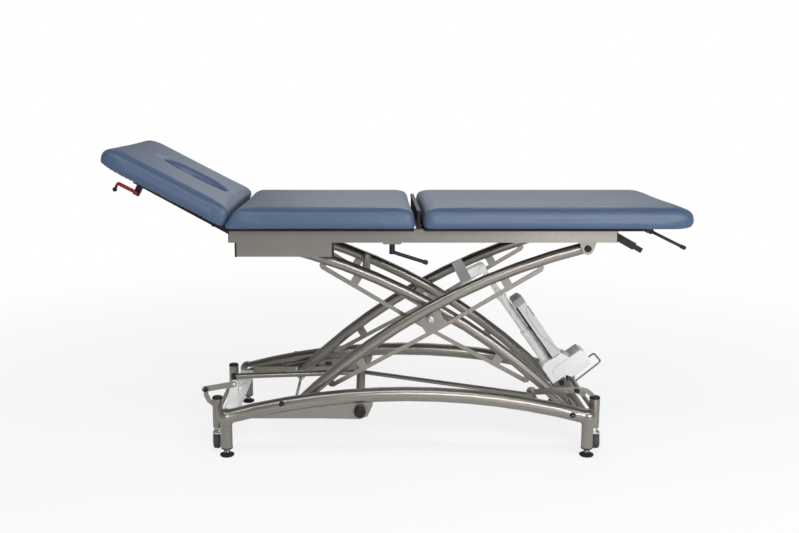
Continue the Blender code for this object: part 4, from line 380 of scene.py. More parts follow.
# Piece building
def add_piece(name, shape, body, look):
    """Puts a finished mesh in the scene on a body."""
    mesh = bpy.data.meshes.new(name)
    shape.to_mesh(mesh)
    shape.free()
    mesh.materials.append(LOOKS[look])
    mesh.shade_smooth()
    mesh.set_sharp_from_angle(angle=SMOOTH_ANGLE)
    obj = bpy.data.objects.new(name, mesh)
    bpy.context.scene.collection.objects.link(obj)
    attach(obj, body)
    return obj


def rounded_profile(points, radius, steps=3):
    """A run of (a, b) points whose inner corners are rounded."""
    points = [Vector(point) for point in points]
    run = [points[0]]
    for before, corner, after in zip(points, points[1:], points[2:]):
        back, on = before - corner, after - corner
        reach = min(radius, back.length * CORNER_REACH, on.length * CORNER_REACH)
        start, end = corner + back.normalized() * reach, corner + on.normalized() * reach
        for i in range(steps + 1):
            part = i / steps
            run.append(start.lerp(corner, part).lerp(corner.lerp(end, part), part))
    run.append(points[-1])
    return run


def lathe(place, direction, profile, sides=ROUND_SIDES):
    """A turned solid from (radius, distance) points: closed by poles of radius zero, or a ring."""
    shape = bmesh.new()
    turn = Vector((0, 0, 1)).rotation_difference(Vector(direction).normalized()).to_matrix()
    rings = []
    for radius, far in profile:
        if radius < SAME_SPOT:
            rings.append([shape.verts.new(Vector(place) + turn @ Vector((0, 0, far)))])
            continue
        angles = [2 * math.pi * i / sides for i in range(sides)]
        points = [Vector((radius * math.cos(a), radius * math.sin(a), far)) for a in angles]
        rings.append([shape.verts.new(Vector(place) + turn @ point) for point in points])
    for lower, upper in zip(rings, rings[1:]):
        for i in range(sides):
            corners = [lower[i % len(lower)], lower[(i + 1) % len(lower)]]
            corners += [upper[(i + 1) % len(upper)], upper[i % len(upper)]]
            unique = list(dict.fromkeys(corners))
            shape.faces.new(unique)
    bmesh.ops.remove_doubles(shape, verts=list(shape.verts), dist=SAME_SPOT)
    bmesh.ops.recalc_face_normals(shape, faces=list(shape.faces))
    return shape


def slab(outline, low, high, bevel, place=None):
    """A bevelled plate: (a, b) points drawn out between two distances on a frame's third axis."""
    frame_matrix = place or Matrix.Identity(4)
    shape = bmesh.new()
    face = shape.faces.new([shape.verts.new((a, b, low)) for a, b in outline])
    grown = bmesh.ops.extrude_face_region(shape, geom=[face])
    moved = [part for part in grown["geom"] if isinstance(part, bmesh.types.BMVert)]
    bmesh.ops.translate(shape, verts=moved, vec=(0, 0, high - low))
    bmesh.ops.recalc_face_normals(shape, faces=list(shape.faces))
    bmesh.ops.bevel(shape, geom=list(shape.edges), offset=bevel, segments=2, profile=0.5, affect="EDGES")
    bmesh.ops.transform(shape, matrix=frame_matrix, verts=list(shape.verts))
    return shape


def rectangle(left, right, low, high):
    """Corners of an upright rectangle."""
    return [(left, low), (right, low), (right, high), (left, high)]


def frame_at(place, x_way, y_way):
    """A matrix whose first two axes lie along two directions at a place."""
    x_way, y_way = Vector(x_way).normalized(), Vector(y_way).normalized()
    z_way = x_way.cross(y_way)
    turn = Matrix((x_way, y_way, z_way)).transposed().to_4x4()
    return Matrix.Translation(place) @ turn


def together(*shapes):
    """Several shapes as the parts of one piece."""
    whole = shapes[0]
    for shape in shapes[1:]:
        mesh = bpy.data.meshes.new("part")
        shape.to_mesh(mesh)
        shape.free()
        whole.from_mesh(mesh)
        bpy.data.meshes.remove(mesh)
    return whole


def block(low, high, bevel=CAP_BEVEL):
    """A bevelled box between two corners."""
    return slab(rectangle(low[0], high[0], low[1], high[1]), low[2], high[2], bevel)


def band(points, half):
    """An outline of constant width along a run of (a, b) points."""
    run = [Vector(point) for point in points]
    last = len(run) - 1
    upper, lower = [], []
    for i, point in enumerate(run):
        way = (run[min(i + 1, last)] - run[max(i - 1, 0)]).normalized()
        side = Vector((-way.y, way.x)) * half
        upper.append(point + side)
        lower.append(point - side)
    return [tuple(point) for point in upper + lower[::-1]]


def dome_cap(name, body, place, direction, radius, height, look, sink=0.001, dimple=0.22):
    """A round cap or bolt head with a rolled edge and a dimple."""
    floor_height = height * (1 - dimple)
    corners = [(0, -sink), (radius, -sink), (radius, height * CAP_WALL), (radius * CAP_CROWN, height)]
    corners += [(radius * DIMPLE_RIM, height), (radius * DIMPLE_FLOOR, floor_height), (0, floor_height)]
    add_piece(name, lathe(place, direction, rounded_profile(corners, radius * CAP_ROUND)), body, look)


def collar(name, body, place, direction, inner, outer, length, look):
    """A ring with rounded outer edges round a bar or post."""
    edge = min(outer - inner, length) * COLLAR_EDGE
    corners = [(inner, 0), (outer - edge, 0), (outer, edge), (outer, length - edge)]
    corners += [(outer - edge, length), (inner, length), (inner, 0)]
    add_piece(name, lathe(place, direction, corners), body, look)


def hexagon(radius):
    """Corners of a hexagon about the origin."""
    turns = [math.pi * i / 3 for i in range(6)]
    return [(radius * math.cos(a), radius * math.sin(a)) for a in turns]


# Cushions
def set_points(mesh, points):
    """Moves all the corners of a mesh."""
    mesh.vertices.foreach_set("co", points.ravel())
    mesh.update()


def normals_of(mesh):
    """All the normals at a mesh's corners."""
    flat = np.zeros(len(mesh.vertices) * 3)
    mesh.vertices.foreach_get("normal", flat)
    return flat.reshape(-1, 3)


def above_foot(points, down):
    """How high each corner lies above the foot of its cushion."""
    height = -points @ np.array(down)
    return height - height.min()


def settle(cover, pinned):
    """Blows the cover up a little as cloth over foam, with its underside held, and keeps the result."""
    group = cover.vertex_groups.new(name="underside")
    group.add([int(i) for i in np.flatnonzero(pinned)], 1.0, "REPLACE")
    cloth = cover.modifiers.new("cloth", "CLOTH")
    settings = cloth.settings
    settings.quality = CLOTH_QUALITY
    settings.mass = CLOTH_MASS
    settings.tension_stiffness = CLOTH_STRETCH
    settings.compression_stiffness = CLOTH_STRETCH
    settings.shear_stiffness = CLOTH_SHEAR
    settings.bending_stiffness = CLOTH_BEND
    settings.use_pressure = True
    settings.uniform_pressure_force = CLOTH_PRESSURE
    settings.effector_weights.gravity = 0.0
    settings.vertex_group_mass = group.name
    cloth.point_cache.frame_start = 1
    cloth.point_cache.frame_end = CLOTH_FRAMES
    for step in range(1, CLOTH_FRAMES + 1):
        bpy.context.scene.frame_set(step)
    evaluated = cover.evaluated_get(bpy.context.evaluated_depsgraph_get())
    moved = np.array([vert.co for vert in evaluated.data.vertices])
    cover.modifiers.clear()
    cover.vertex_groups.clear()
    bpy.context.scene.frame_set(1)
    return moved


def smooth(mesh, share, rounds):
    """Evens a mesh out, by a share for each of its corners."""
    links = np.zeros(len(mesh.edges) * 2, int)
    mesh.edges.foreach_get("vertices", links)
    ends = links.reshape(-1, 2)
    both = np.concatenate((ends, ends[:, ::-1]))
    points = points_of(mesh)
    count = np.bincount(both[:, 0], minlength=len(points))[:, None]
    for _ in range(rounds):
        beside = points[both[:, 1]].T
        total = np.stack([np.bincount(both[:, 0], row, len(points)) for row in beside], axis=1)
        points += SMOOTH_STEP * share[:, None] * (total / count - points)
    set_points(mesh, points)


def roll_share(points, down, along, keep):
    """How far each corner of a cushion is rounded: the top is, the foot and the hinge end are not."""
    height = above_foot(points, down)
    height = height / height.max()
    share = np.clip((height - ROLL_START) / (ROLL_END - ROLL_START), 0, 1)
    way = points @ np.array(along)
    if keep is not None:
        share *= np.clip((way.max() - way - keep) / HINGE_FADE, HINGE_SHARE, 1)
    return share, way - way.min()


def slot_share(points, along):
    """Keeps the lips of the breathing slot from being rounded away."""
    way = points @ np.array(along)
    length = (way - way.max() + SLOT_PLACE) / SLOT_HALF_LENGTH
    off = np.hypot(length, points[:, 1] / SLOT_HALF_WIDTH)
    return np.clip((off - 1) / SLOT_FADE, SLOT_SHARE, 1)


def stretch(mesh, way, reach, length):
    """Draws one end of a cover out along a direction."""
    points = points_of(mesh)
    far = points @ np.array(way)
    near = np.clip(1 - (far.max() - far) / length, 0, 1) ** 2
    set_points(mesh, points + np.outer(near * reach, way))


def wrap(mesh, down):
    """Draws the foot of a cover down round the edge of its board."""
    points = points_of(mesh)
    low = np.clip(1 - above_foot(points, down) / WRAP_FADE, 0, 1)
    set_points(mesh, points + np.outer(low * WRAP, down))


def press(mesh, down, drop):
    """Presses a cushion's crown down, in proportion to the height above its foot."""
    points = points_of(mesh)
    height = above_foot(points, down)
    set_points(mesh, points + np.outer(height / height.max() * drop, down))


def turn_up(mesh, down, along):
    """Rounds the foot of a cover up into its nose, along a quarter circle."""
    points = points_of(mesh)
    low = np.clip(1 - above_foot(points, down) / TIP_FADE, 0, 1)
    way = points @ np.array(along)
    short = np.clip(TIP_RADIUS - (way - way.min()), 0, TIP_RADIUS)
    rise = TIP_RADIUS - np.sqrt(TIP_RADIUS ** 2 - short ** 2)
    set_points(mesh, points - np.outer(low * rise, down))


def remeshed(node):
    """A packed cushion as an even net of small faces, in an object of its own."""
    cover = bpy.data.objects.new(node + "_cover", NODES[node].data.copy())
    bpy.context.scene.collection.objects.link(cover)
    remesh = cover.modifiers.new("remesh", "REMESH")
    remesh.mode = "VOXEL"
    remesh.voxel_size = VOXEL
    graph = bpy.context.evaluated_depsgraph_get()
    cover.data = bpy.data.meshes.new_from_object(cover.evaluated_get(graph))
    cover.modifiers.clear()
    return cover


def swell(cover, down):
    """Draws a cover in a little, then lets cloth under pressure fill it out again."""
    mesh = cover.data
    normals = normals_of(mesh)
    pinned = normals @ np.array(down) > FLAT_LIMIT
    start = points_of(mesh)
    start[~pinned] -= normals[~pinned] * SHRINK
    set_points(mesh, start)
    shift = settle(cover, pinned) - start
    length = np.linalg.norm(shift, axis=1, keepdims=True)
    shift *= np.minimum(1.0, SWELL_CAP / np.maximum(length, NO_SHIFT))
    set_points(mesh, start + shift)
    smooth(mesh, np.ones(len(start)), LAST_ROUNDS)


def cushion(node, body, down, along, keep=None, ends=(), nose=False, drop=0.0):
    """A soft cover in the space of a packed cushion: rounded, then swollen against a flat underside."""
    cover = remeshed(node)
    mesh = cover.data
    share, past_nose = roll_share(points_of(mesh), down, along, keep)
    if drop:
        share *= slot_share(points_of(mesh), along)
        press(mesh, down, drop)
    even = np.ones(len(share))
    round_end = np.clip((NOSE_LENGTH - past_nose) / NOSE_FADE, 0, 1) if nose else even * 0
    smooth(mesh, even, SMOOTH_ROUNDS)
    smooth(mesh, share, ROLL_ROUNDS)
    for way, reach, length in ends:
        stretch(mesh, way, reach, length)
    wrap(mesh, down)
    smooth(mesh, round_end, NOSE_ROUNDS)
    if drop:
        turn_up(mesh, down, along)
    swell(cover, down)
    mesh.materials.clear()
    mesh.materials.append(LOOKS["upholstery"])
    mesh.shade_smooth()
    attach(cover, body)
    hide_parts(node)


def panel(node, body, down, way, cut):
    """The board under a cushion, thinned where the cover wraps its edge and cut back at the outer end."""
    shape = bmesh.new()
    shape.from_mesh(NODES[node].data)
    bmesh.ops.remove_doubles(shape, verts=list(shape.verts), dist=BOARD_MERGE)
    down, way = Vector(down), Vector(way)
    heights = [vert.co.dot(down) for vert in shape.verts]
    middle = (min(heights) + max(heights)) / 2
    for vert in shape.verts:
        if vert.co.dot(down) < middle:
            vert.co += down * WRAP
    end = max(vert.co.dot(way) for vert in shape.verts) - cut
    everything = list(shape.verts) + list(shape.edges) + list(shape.faces)
    done = bmesh.ops.bisect_plane(shape, geom=everything, plane_co=way * end, plane_no=way, clear_outer=True)
    rim = [part for part in done["geom_cut"] if isinstance(part, bmesh.types.BMEdge)]
    bmesh.ops.holes_fill(shape, edges=rim)
    bmesh.ops.recalc_face_normals(shape, faces=list(shape.faces))
    board = add_piece(node + "_panel", shape, body, "board")
    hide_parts(node)


def cushions():
    """A cover and a board for each section; the head section leans."""
    right, left, below = (1, 0, 0), (-1, 0, 0), (0, 0, -1)
    lean, rise = math.cos(HEAD_TILT), math.sin(HEAD_TILT)
    onward, outward, under = (lean, 0, -rise), (-lean, 0, rise), (-rise, 0, -lean)
    cushion("mid_cushion", "top", below, left, MID_KEEP, [(left, *MID_END)])
    cushion("leg_cushion", "leg", below, left, None, [(right, *LEG_END)], nose=True)
    ends = [(outward, *HEAD_OUTER_END), (onward, *HEAD_HINGE_END)]
    cushion("head_cushion", "head", under, onward, HEAD_KEEP, ends, nose=True, drop=HEAD_LOWER)
    panel("mid_board", "top", below, right, MID_BOARD_CUT)
    panel("leg_board", "leg", below, right, LEG_BOARD_CUT)
    panel("head_board", "head", under, outward, HEAD_BOARD_CUT)


# Fittings on the base; a cap is a radius and a height, a ring two radii and a length
SIDES = {"near": -1, "far": 1}
LEFT_POST = PIVOTS["swivel_left_near"].x + BASE_CORNER_INSET
RIGHT_POST = PIVOTS["swivel_right_near"].x - BASE_CORNER_INSET
BASE_CAPS = {"left": (LEFT_POST + 0.196, 0.1970), "right": (RIGHT_POST - 0.058, 0.1555)}
BASE_CAP = (0.0096, 0.0072)
BASE_CAP_SINK = 0.001
ROCKER_CAP = (0.0206, 0.0094)
ROCKER_CAP_FACE = 0.3165
ROCKER_CAP_DIMPLE = 0.04
POST_PLUG_DROP = 0.003
POST_PLUG_LIP = 0.0006
POST_PLUG_LENGTH = 0.0055
FOOT_PAD_TOP = 0.012
NUT_TOP = 0.0184
NUT_RADIUS = 0.0122
STUD_RADIUS = 0.0064
THREAD_RISE = 0.0004
THREAD_STEP = 0.0008
THREAD_STEPS = 10
CROSS_TUBE_Z = 0.131
CROSS_TUBE_WELD = (0.0165, 0.0195, 0.004)
CORNER_Z = 0.141
CORNER_BALL = 0.0292
BALL_STEP = 7.5
BALL_STEPS = 14
CORNER_WELD = ((0.0022, -0.0215), (0.0026, -0.0245), (0.0004, -0.0275))
ROCKER_ROOT_Y = 0.174
ROCKER_TIPS = {"left": (0.113, 0.0118), "right": (-0.127, 0.0093)}
ROCKER_TIP_INSET = 0.006
ROCKER_TIP_LAP = 0.010
ROCKER_TIP_HEIGHT = 0.018


def corner_ball(name, place):
    """The smooth round corner over a post, with the weld ring where the post meets it."""
    turns = [math.radians(BALL_STEP * i) for i in range(1, BALL_STEPS + 1)]
    ball = [(CORNER_BALL * math.sin(a), CORNER_BALL * math.cos(a)) for a in turns]
    ring = [(POST_RADIUS + out, height) for out, height in CORNER_WELD]
    corners = [(0, CORNER_BALL), *ball, *ring, (0, CORNER_WELD[-1][1])]
    add_piece(name, lathe(place, (0, 0, 1), corners), "base", "frame")


def post_fittings(name, x, y):
    """A plug in a post, the nut and thread of its foot, and the round corner over it."""
    collar("post_plug_" + name, "base", (x, y, POST_BOTTOM - POST_PLUG_DROP), (0, 0, 1),
           STUD_RADIUS, POST_RADIUS + POST_PLUG_LIP, POST_PLUG_LENGTH, "black_plastic")
    nut = slab(hexagon(NUT_RADIUS), FOOT_PAD_TOP, NUT_TOP, CAP_BEVEL, Matrix.Translation((x, y, 0)))
    turns = range(THREAD_STEPS + 1)
    thread = [(STUD_RADIUS + THREAD_RISE * (i % 2), NUT_TOP + THREAD_STEP * i) for i in turns]
    stud = lathe((x, y, 0), (0, 0, 1), [(0, NUT_TOP), *thread, (0, NUT_TOP + THREAD_STEP * THREAD_STEPS)])
    add_piece("foot_nut_" + name, together(nut, stud), "base", "zinc")
    corner_ball("corner_ball_" + name, (x, y, CORNER_Z))


def base_fittings():
    """Caps on the side tubes and the rocker's tube, the posts' fittings and the cross tube's welds."""
    rocker = PIVOTS["foot_rocker_tilt"]
    for word, side in SIDES.items():
        for end, (x, z) in BASE_CAPS.items():
            place = (x, side * (BASE_TUBE_FACE - BASE_CAP_SINK), z)
            dome_cap("base_cap_" + end + "_" + word, "base", place, (0, side, 0), *BASE_CAP, "black_plastic")
        place = (rocker.x, side * ROCKER_CAP_FACE, rocker.z)
        dome_cap("rocker_cap_" + word, "foot_rocker", place, (0, side, 0), *ROCKER_CAP, "black_plastic",
                 dimple=ROCKER_CAP_DIMPLE)
        for end, x in (("left", LEFT_POST), ("right", RIGHT_POST)):
            post_fittings(end + "_" + word, x, side * BASE_HALF_SPREAD)
        place = (RIGHT_POST, side * CROSS_TUBE_END, CROSS_TUBE_Z)
        collar("cross_tube_weld_" + word, "base", place, (0, -side, 0), *CROSS_TUBE_WELD, "frame")


def rocker_fittings():
    """Black end caps on the foot rocker's two bars."""
    low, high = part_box("foot_rocker")
    reaches = {"left": low[0] + ROCKER_TIP_INSET, "right": high[0] - ROCKER_TIP_INSET}
    pivot = PIVOTS["foot_rocker_tilt"]
    root = Vector((pivot.x, ROCKER_ROOT_Y, pivot.z))
    for word, (y, radius) in ROCKER_TIPS.items():
        tip = Vector((reaches[word], y, pivot.z))
        way = (tip - root).normalized()
        dome_cap("rocker_bar_cap_" + word, "foot_rocker", tip - way * ROCKER_TIP_LAP, way,
                 radius, ROCKER_TIP_HEIGHT, "black_plastic")


# Fittings on the castors
CASTOR_POST_TOP = 0.1795
CASTOR_CAP_LIP = 0.0006
CASTOR_CAP_HEIGHT = 0.0082
CASTOR_NUT = 0.0172
CASTOR_NUT_SPAN = (0.008, 0.002)
CASTOR_WASHER = (0.0165, 0.0018)
CASTOR_WASHER_DROP = 0.0022
WHEEL_HUB = (0.0045, 0.0165, 0.0010)
WHEEL_HUB_SINK = 0.0002
LEVER_BOLT = (0.0088, 0.0055)
LEFT_LEVER_BOLT = (-0.101, -0.2066, -0.018)
RIGHT_LEVER_BOLT = (0.160, -0.2116, 0.007)
LEVER_BOSS = (0.0190, 0.0012)
LEVER_BOSS_FACE = 0.0008


def castor_nut(name, body, place):
    """The hexagon nut and washer at the top of a fork."""
    x, y, top = place
    start, end = CASTOR_NUT_SPAN
    nut = slab(hexagon(CASTOR_NUT), top - start, top - end, CAP_BEVEL, Matrix.Translation((x, y, 0)))
    radius, thick = CASTOR_WASHER
    profile = [(0, 0), (radius, 0), (radius, thick), (0, thick)]
    washer = lathe((x, y, top - CASTOR_WASHER_DROP), (0, 0, 1), profile)
    add_piece(name, together(nut, washer), body, "zinc")


def castor_fittings():
    """Post caps, swivel nuts and wheel hubs, and the bolts and boss of the levers."""
    for end in ("left", "right"):
        x = PIVOTS["swivel_" + end + "_near"].x
        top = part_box("castor_fork_" + end + "_near")[1][2]
        for word, side in SIDES.items():
            body = end + "_" + word
            y = side * CASTOR_Y
            dome_cap("castor_post_cap_" + body, "castor_" + end, (x, y, CASTOR_POST_TOP), (0, 0, 1),
                     CASTOR_POST_RADIUS + CASTOR_CAP_LIP, CASTOR_CAP_HEIGHT, "black_plastic")
            castor_nut("castor_nut_" + body, "fork_" + body, (x, y, top))
            hub = PIVOTS["roll_" + body]
            for face, way in (("a", -1), ("b", 1)):
                place = hub + Vector((way * (WHEEL_HALF - WHEEL_HUB_SINK), 0, 0))
                collar("wheel_hub_" + face + "_" + body, "wheel_" + body, place, (way, 0, 0),
                       *WHEEL_HUB, "grey_plastic")
    left, right = PIVOTS["castor_left_lever"], PIVOTS["castor_right_lever"]
    for end, pivot, (x, y, z) in (("left", left, LEFT_LEVER_BOLT), ("right", right, RIGHT_LEVER_BOLT)):
        dome_cap("lever_bolt_" + end, "castor_" + end, (pivot.x + x, y, pivot.z + z), (0, -1, 0),
                 *LEVER_BOLT, "black_plastic")
    dome_cap("lever_boss_right", "castor_lever_right", right + Vector((0, LEVER_BOSS_FACE, 0)), (0, 1, 0),
             *LEVER_BOSS, "frame", sink=0.0)


# Fittings on the lift
CENTRE_BOLT = (0.0108, 0.0042)
CENTRE_BOLT_FACE = 0.2431
PIVOT_CAP = (0.0119, 0.0092)
PIVOT_CAP_FACE = 0.2594
ARM_WELD = (0.0145, 0.0180, 0.004)


def lift_fittings():
    """Bolt heads at the arms' centre and upper pivots, and welds round their cross tube."""
    low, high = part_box("inner_arm_cross_tube")
    x, z = (low[0] + high[0]) / 2, (low[2] + high[2]) / 2
    for word, side in SIDES.items():
        centre = PIVOTS["scissor_cross"] + Vector((0, side * CENTRE_BOLT_FACE, 0))
        dome_cap("centre_bolt_head_" + word, "arm_a", centre, (0, side, 0), *CENTRE_BOLT, "zinc")
        upper = PIVOTS["top_level"] + Vector((0, side * PIVOT_CAP_FACE, 0))
        dome_cap("pivot_cap_" + word, "top", upper, (0, side, 0), *PIVOT_CAP, "black_plastic")
        place = (x, side * high[1], z)
        collar("arm_weld_" + word, "arm_b", place, (0, -side, 0), *ARM_WELD, "frame")


# Fittings on the actuator, across and along its line; a relief is a depth, a rise and a bevel
CONTROL_CAP = 0.026
CAP_LIP = 0.0007
CAP_SLOPE = (0.0078, 0.0140)
CAP_CHAMFER = 0.0050
CAP_RIBS = 6
RIB_START = 0.0030
RIB_STEP = 0.0062
RIB_WIDTH = 0.0028
RIB_ENDS = (0.0020, 0.0040)
RIB_RELIEF = (0.0005, 0.0020, 0.0004)
GAP_STRIP = 0.0062
STRIP_STEP = 0.240
STRIP_INSET = 0.0001
STRIP_LIFT = 0.0002
STRIP_LAP = 0.0022
STRIP_RELIEF = (0.0040, 0.0008, 0.0003)
SILL_INSET = 0.0060
SILL_HEIGHT = 0.0022
VENT_START = 0.0180
VENT_WIDTH = 0.0042
VENT_INSET = 0.0060
VENT_RELIEF = (0.0090, SEAM_RISE, 0.0002)
SEAM_RELIEF = (0.0020, SEAM_RISE, 0.0001)
SEAM_STEPS = 4
CONTROL_SEAM = ((0.0510, 0.3230), (0.0390, 0.2970), (0.0345, 0.2540), (0.0374, 0.2020), (0.0480, 0.1640),
                (0.0598, 0.1190))
CONTROL_SEAM_BEND = 0.020
MOTOR_SEAM = ((-0.0070, 0.0500), (-0.0020, 0.0640), (0.0160, 0.0705), (0.0770, 0.0705))
MOTOR_SEAM_BEND = 0.012
MOTOR_SCREWS = ((-0.0190, 0.0310), (-0.0180, 0.0920), (0.0530, 0.0940), (0.1250, 0.0360))
MOTOR_SCREW = (0.0042, 0.0018)
HOOD = (0.0800, 0.1265, 0.0695, 0.0750)
HOOD_INSET = 0.0035
HOOD_RIB = (0.0830, 0.1235, 0.0745, 0.0765)
HOOD_RIB_INSET = 0.0120
HOOD_RIB_BEVEL = 0.0006
CONNECTOR = ((0.0620, 0.0980), (0.0760, 0.0740), (0.0860, 0.0790), (0.0720, 0.1030))
CONNECTOR_SPAN = (0.0140, 0.0360)
CONNECTOR_NOSE = (0.0655, 0.0735, 0.0960, 0.1060)
CONNECTOR_NOSE_SPAN = (0.0190, 0.0310)
PIN_CAP = (0.0100, 0.0050)
PIN_CAP_FACE = 0.0272
MOUTH_PLACE = 0.234
MOUTH = (0.0156, 0.0205, 0.0085)
CLEVIS = (0.0050, 0.0122, 0.4045, 0.4440)
CLEVIS_RELIEF = (0.0010, 0.0016, 0.0006)


def both_faces(outline, face, relief, place):
    """The same low relief on the near and the far face of a housing."""
    depth, rise, bevel = relief
    return [slab(outline, low, low + depth + rise, bevel, place) for low in (face - depth, -face - rise)]


def seam(name, points, bend, half, face, place):
    """A smooth seam line on both faces of a housing."""
    curve = rounded_profile(points, bend, SEAM_STEPS)
    lines = both_faces(band(curve, half), face, SEAM_RELIEF, place)
    add_piece(name, together(*lines), "actuator", "grey_plastic")


def control_cover(place):
    """The ribbed cap on the control box."""
    inner, out, top = CONTROL_INSIDE, CONTROL_OUTSIDE, CONTROL_TOP
    face, lip = CONTROL_FACE, CAP_LIP
    start = top - CONTROL_CAP
    across, down = CAP_SLOPE
    cover = [(inner - lip, start), (out + lip, start), (out + lip, top - down)]
    cover += [(out - across, top + lip), (inner + CAP_CHAMFER, top + lip), (inner - lip, top - CAP_CHAMFER)]
    shapes = [slab(cover, -face - lip, face + lip, CAP_BEVEL, place)]
    foot, head = RIB_ENDS
    for i in range(CAP_RIBS):
        side = inner + RIB_START + RIB_STEP * i
        outline = rectangle(side, side + RIB_WIDTH, start + foot, top - head)
        shapes += both_faces(outline, face, RIB_RELIEF, place)
    add_piece("control_cover", together(*shapes), "actuator", "grey_plastic")


def control_box_fittings(place):
    """The cap, black gap strip, vents and seam of the control box."""
    inner, out, low = CONTROL_INSIDE, CONTROL_OUTSIDE, CONTROL_BOTTOM
    face, start = CONTROL_FACE, CONTROL_TOP - CONTROL_CAP
    control_cover(place)
    lower = rectangle(inner + STRIP_INSET, inner + GAP_STRIP, low + STRIP_LIFT, STRIP_STEP)
    upper = rectangle(inner - STRIP_LAP, inner + GAP_STRIP, STRIP_STEP, start)
    sill = rectangle(inner + GAP_STRIP, out - SILL_INSET, low + STRIP_LIFT, low + SILL_HEIGHT)
    strips = []
    for outline in (lower, upper, sill):
        strips += both_faces(outline, face, STRIP_RELIEF, place)
    add_piece("control_gap_strip", together(*strips), "actuator", "black_plastic")
    vents = []
    for i in range(VENT_COUNT):
        along = start - VENT_START - VENT_STEP * i
        outline = rectangle(out - VENT_INSET, out + SEAM_RISE, along - VENT_WIDTH, along)
        vents += both_faces(outline, face, VENT_RELIEF, place)
    add_piece("control_vents", together(*vents), "actuator", "black_plastic")
    seam("control_seam", CONTROL_SEAM, CONTROL_SEAM_BEND, 2 * SEAM_HALF, face, place)


def motor_fittings(place):
    """The seam, hood, connector and screws of the motor housing."""
    face = MOTOR_FACE
    seam("motor_seam", MOTOR_SEAM, MOTOR_SEAM_BEND, SEAM_HALF, face, place)
    hood = slab(rectangle(*HOOD), HOOD_INSET - face, face - HOOD_INSET, CAP_BEVEL, place)
    rib = slab(rectangle(*HOOD_RIB), HOOD_RIB_INSET - face, face - HOOD_RIB_INSET, HOOD_RIB_BEVEL, place)
    add_piece("motor_hood", together(hood, rib), "actuator", "grey_plastic")
    plug = slab(CONNECTOR, *CONNECTOR_SPAN, CAP_BEVEL, place)
    nose = slab(rectangle(*CONNECTOR_NOSE), *CONNECTOR_NOSE_SPAN, CAP_BEVEL, place)
    add_piece("motor_connector", together(plug, nose), "actuator", "grey_plastic")
    for number, (side, along) in enumerate(MOTOR_SCREWS):
        spot = place @ Vector((side, along, -face))
        dome_cap("motor_screw_" + str(number), "actuator", spot, (0, 1, 0), *MOTOR_SCREW, "zinc")


def actuator_fittings():
    """What is fastened on the actuator, and the caps of its pins."""
    line = AXES["actuator_stroke"]
    foot = PIVOTS["actuator_foot"]
    place = frame_at(foot, (line.z, 0, -line.x), line)
    control_box_fittings(place)
    motor_fittings(place)
    for word, way in SIDES.items():
        dome_cap("actuator_pin_cap_" + word, "base", foot + Vector((0, way * PIN_CAP_FACE, 0)), (0, way, 0),
                 *PIN_CAP, "black_plastic")
    collar("actuator_mouth", "actuator", foot + line * MOUTH_PLACE, line, *MOUTH, "white_plastic")
    inside, half, start, end = CLEVIS
    cheeks = both_faces(rectangle(-half, half, start, end), inside, CLEVIS_RELIEF, place)
    add_piece("rod_clevis", together(*cheeks), "actuator_rod", "zinc")


# Fittings on the top frame
TRACK_PLAY = 0.0004
HINGE_WASHER = (0.0095, 0.0042)
HINGE_WASHER_FACE = 0.2195
LEG_HINGE_CAP = (0.0072, 0.0034)
LEG_HINGE_FACE = 0.2783
LOCK_SCREW = (0.0048, 0.0026)
LOCK_SCREW_SHIFT = 0.022
LOCK_SCREW_LIFT = 0.0004


def cap_flange(x, way, low, high):
    """The plate of a cap against the end of a rail or a track."""
    ends = sorted((x, x + way * CAP_PLATE))
    return block((ends[0], low[0], low[1]), (ends[1], high[0], high[1]))


def end_cap(name, x, way, low, high):
    """A black cap on a hollow rail: a flange against its end and a plug inside it."""
    flange = cap_flange(x, way, low, high)
    inset = RAIL_WALL + PLUG_PLAY
    ends = sorted((x - way * PLUG_DEPTH, x + way * CAP_PLATE / 2))
    plug = block((ends[0], low[0] + inset, low[1] + inset), (ends[1], high[0] - inset, high[1] - inset))
    add_piece(name, together(flange, plug), "top", "black_plastic")


def track_cap(name, x, way, low, high, side):
    """A black cap over a track's end, with lips under it and along its outer face."""
    flange = cap_flange(x, way, low, high)
    near, far = sorted((x + way * CAP_PLATE, x - way * TRACK_LIP))
    lip = TRACK_LIP_THICK
    under = block((near, low[0], low[1] - lip), (far, high[0], low[1]), TRACK_LIP_BEVEL)
    face = low[0] if side < 0 else high[0]
    outer = sorted((face, face + side * lip))
    beside = block((near, outer[0], low[1]), (far, outer[1], high[1]), TRACK_LIP_BEVEL)
    add_piece(name, together(flange, under, beside), "top", "black_plastic")


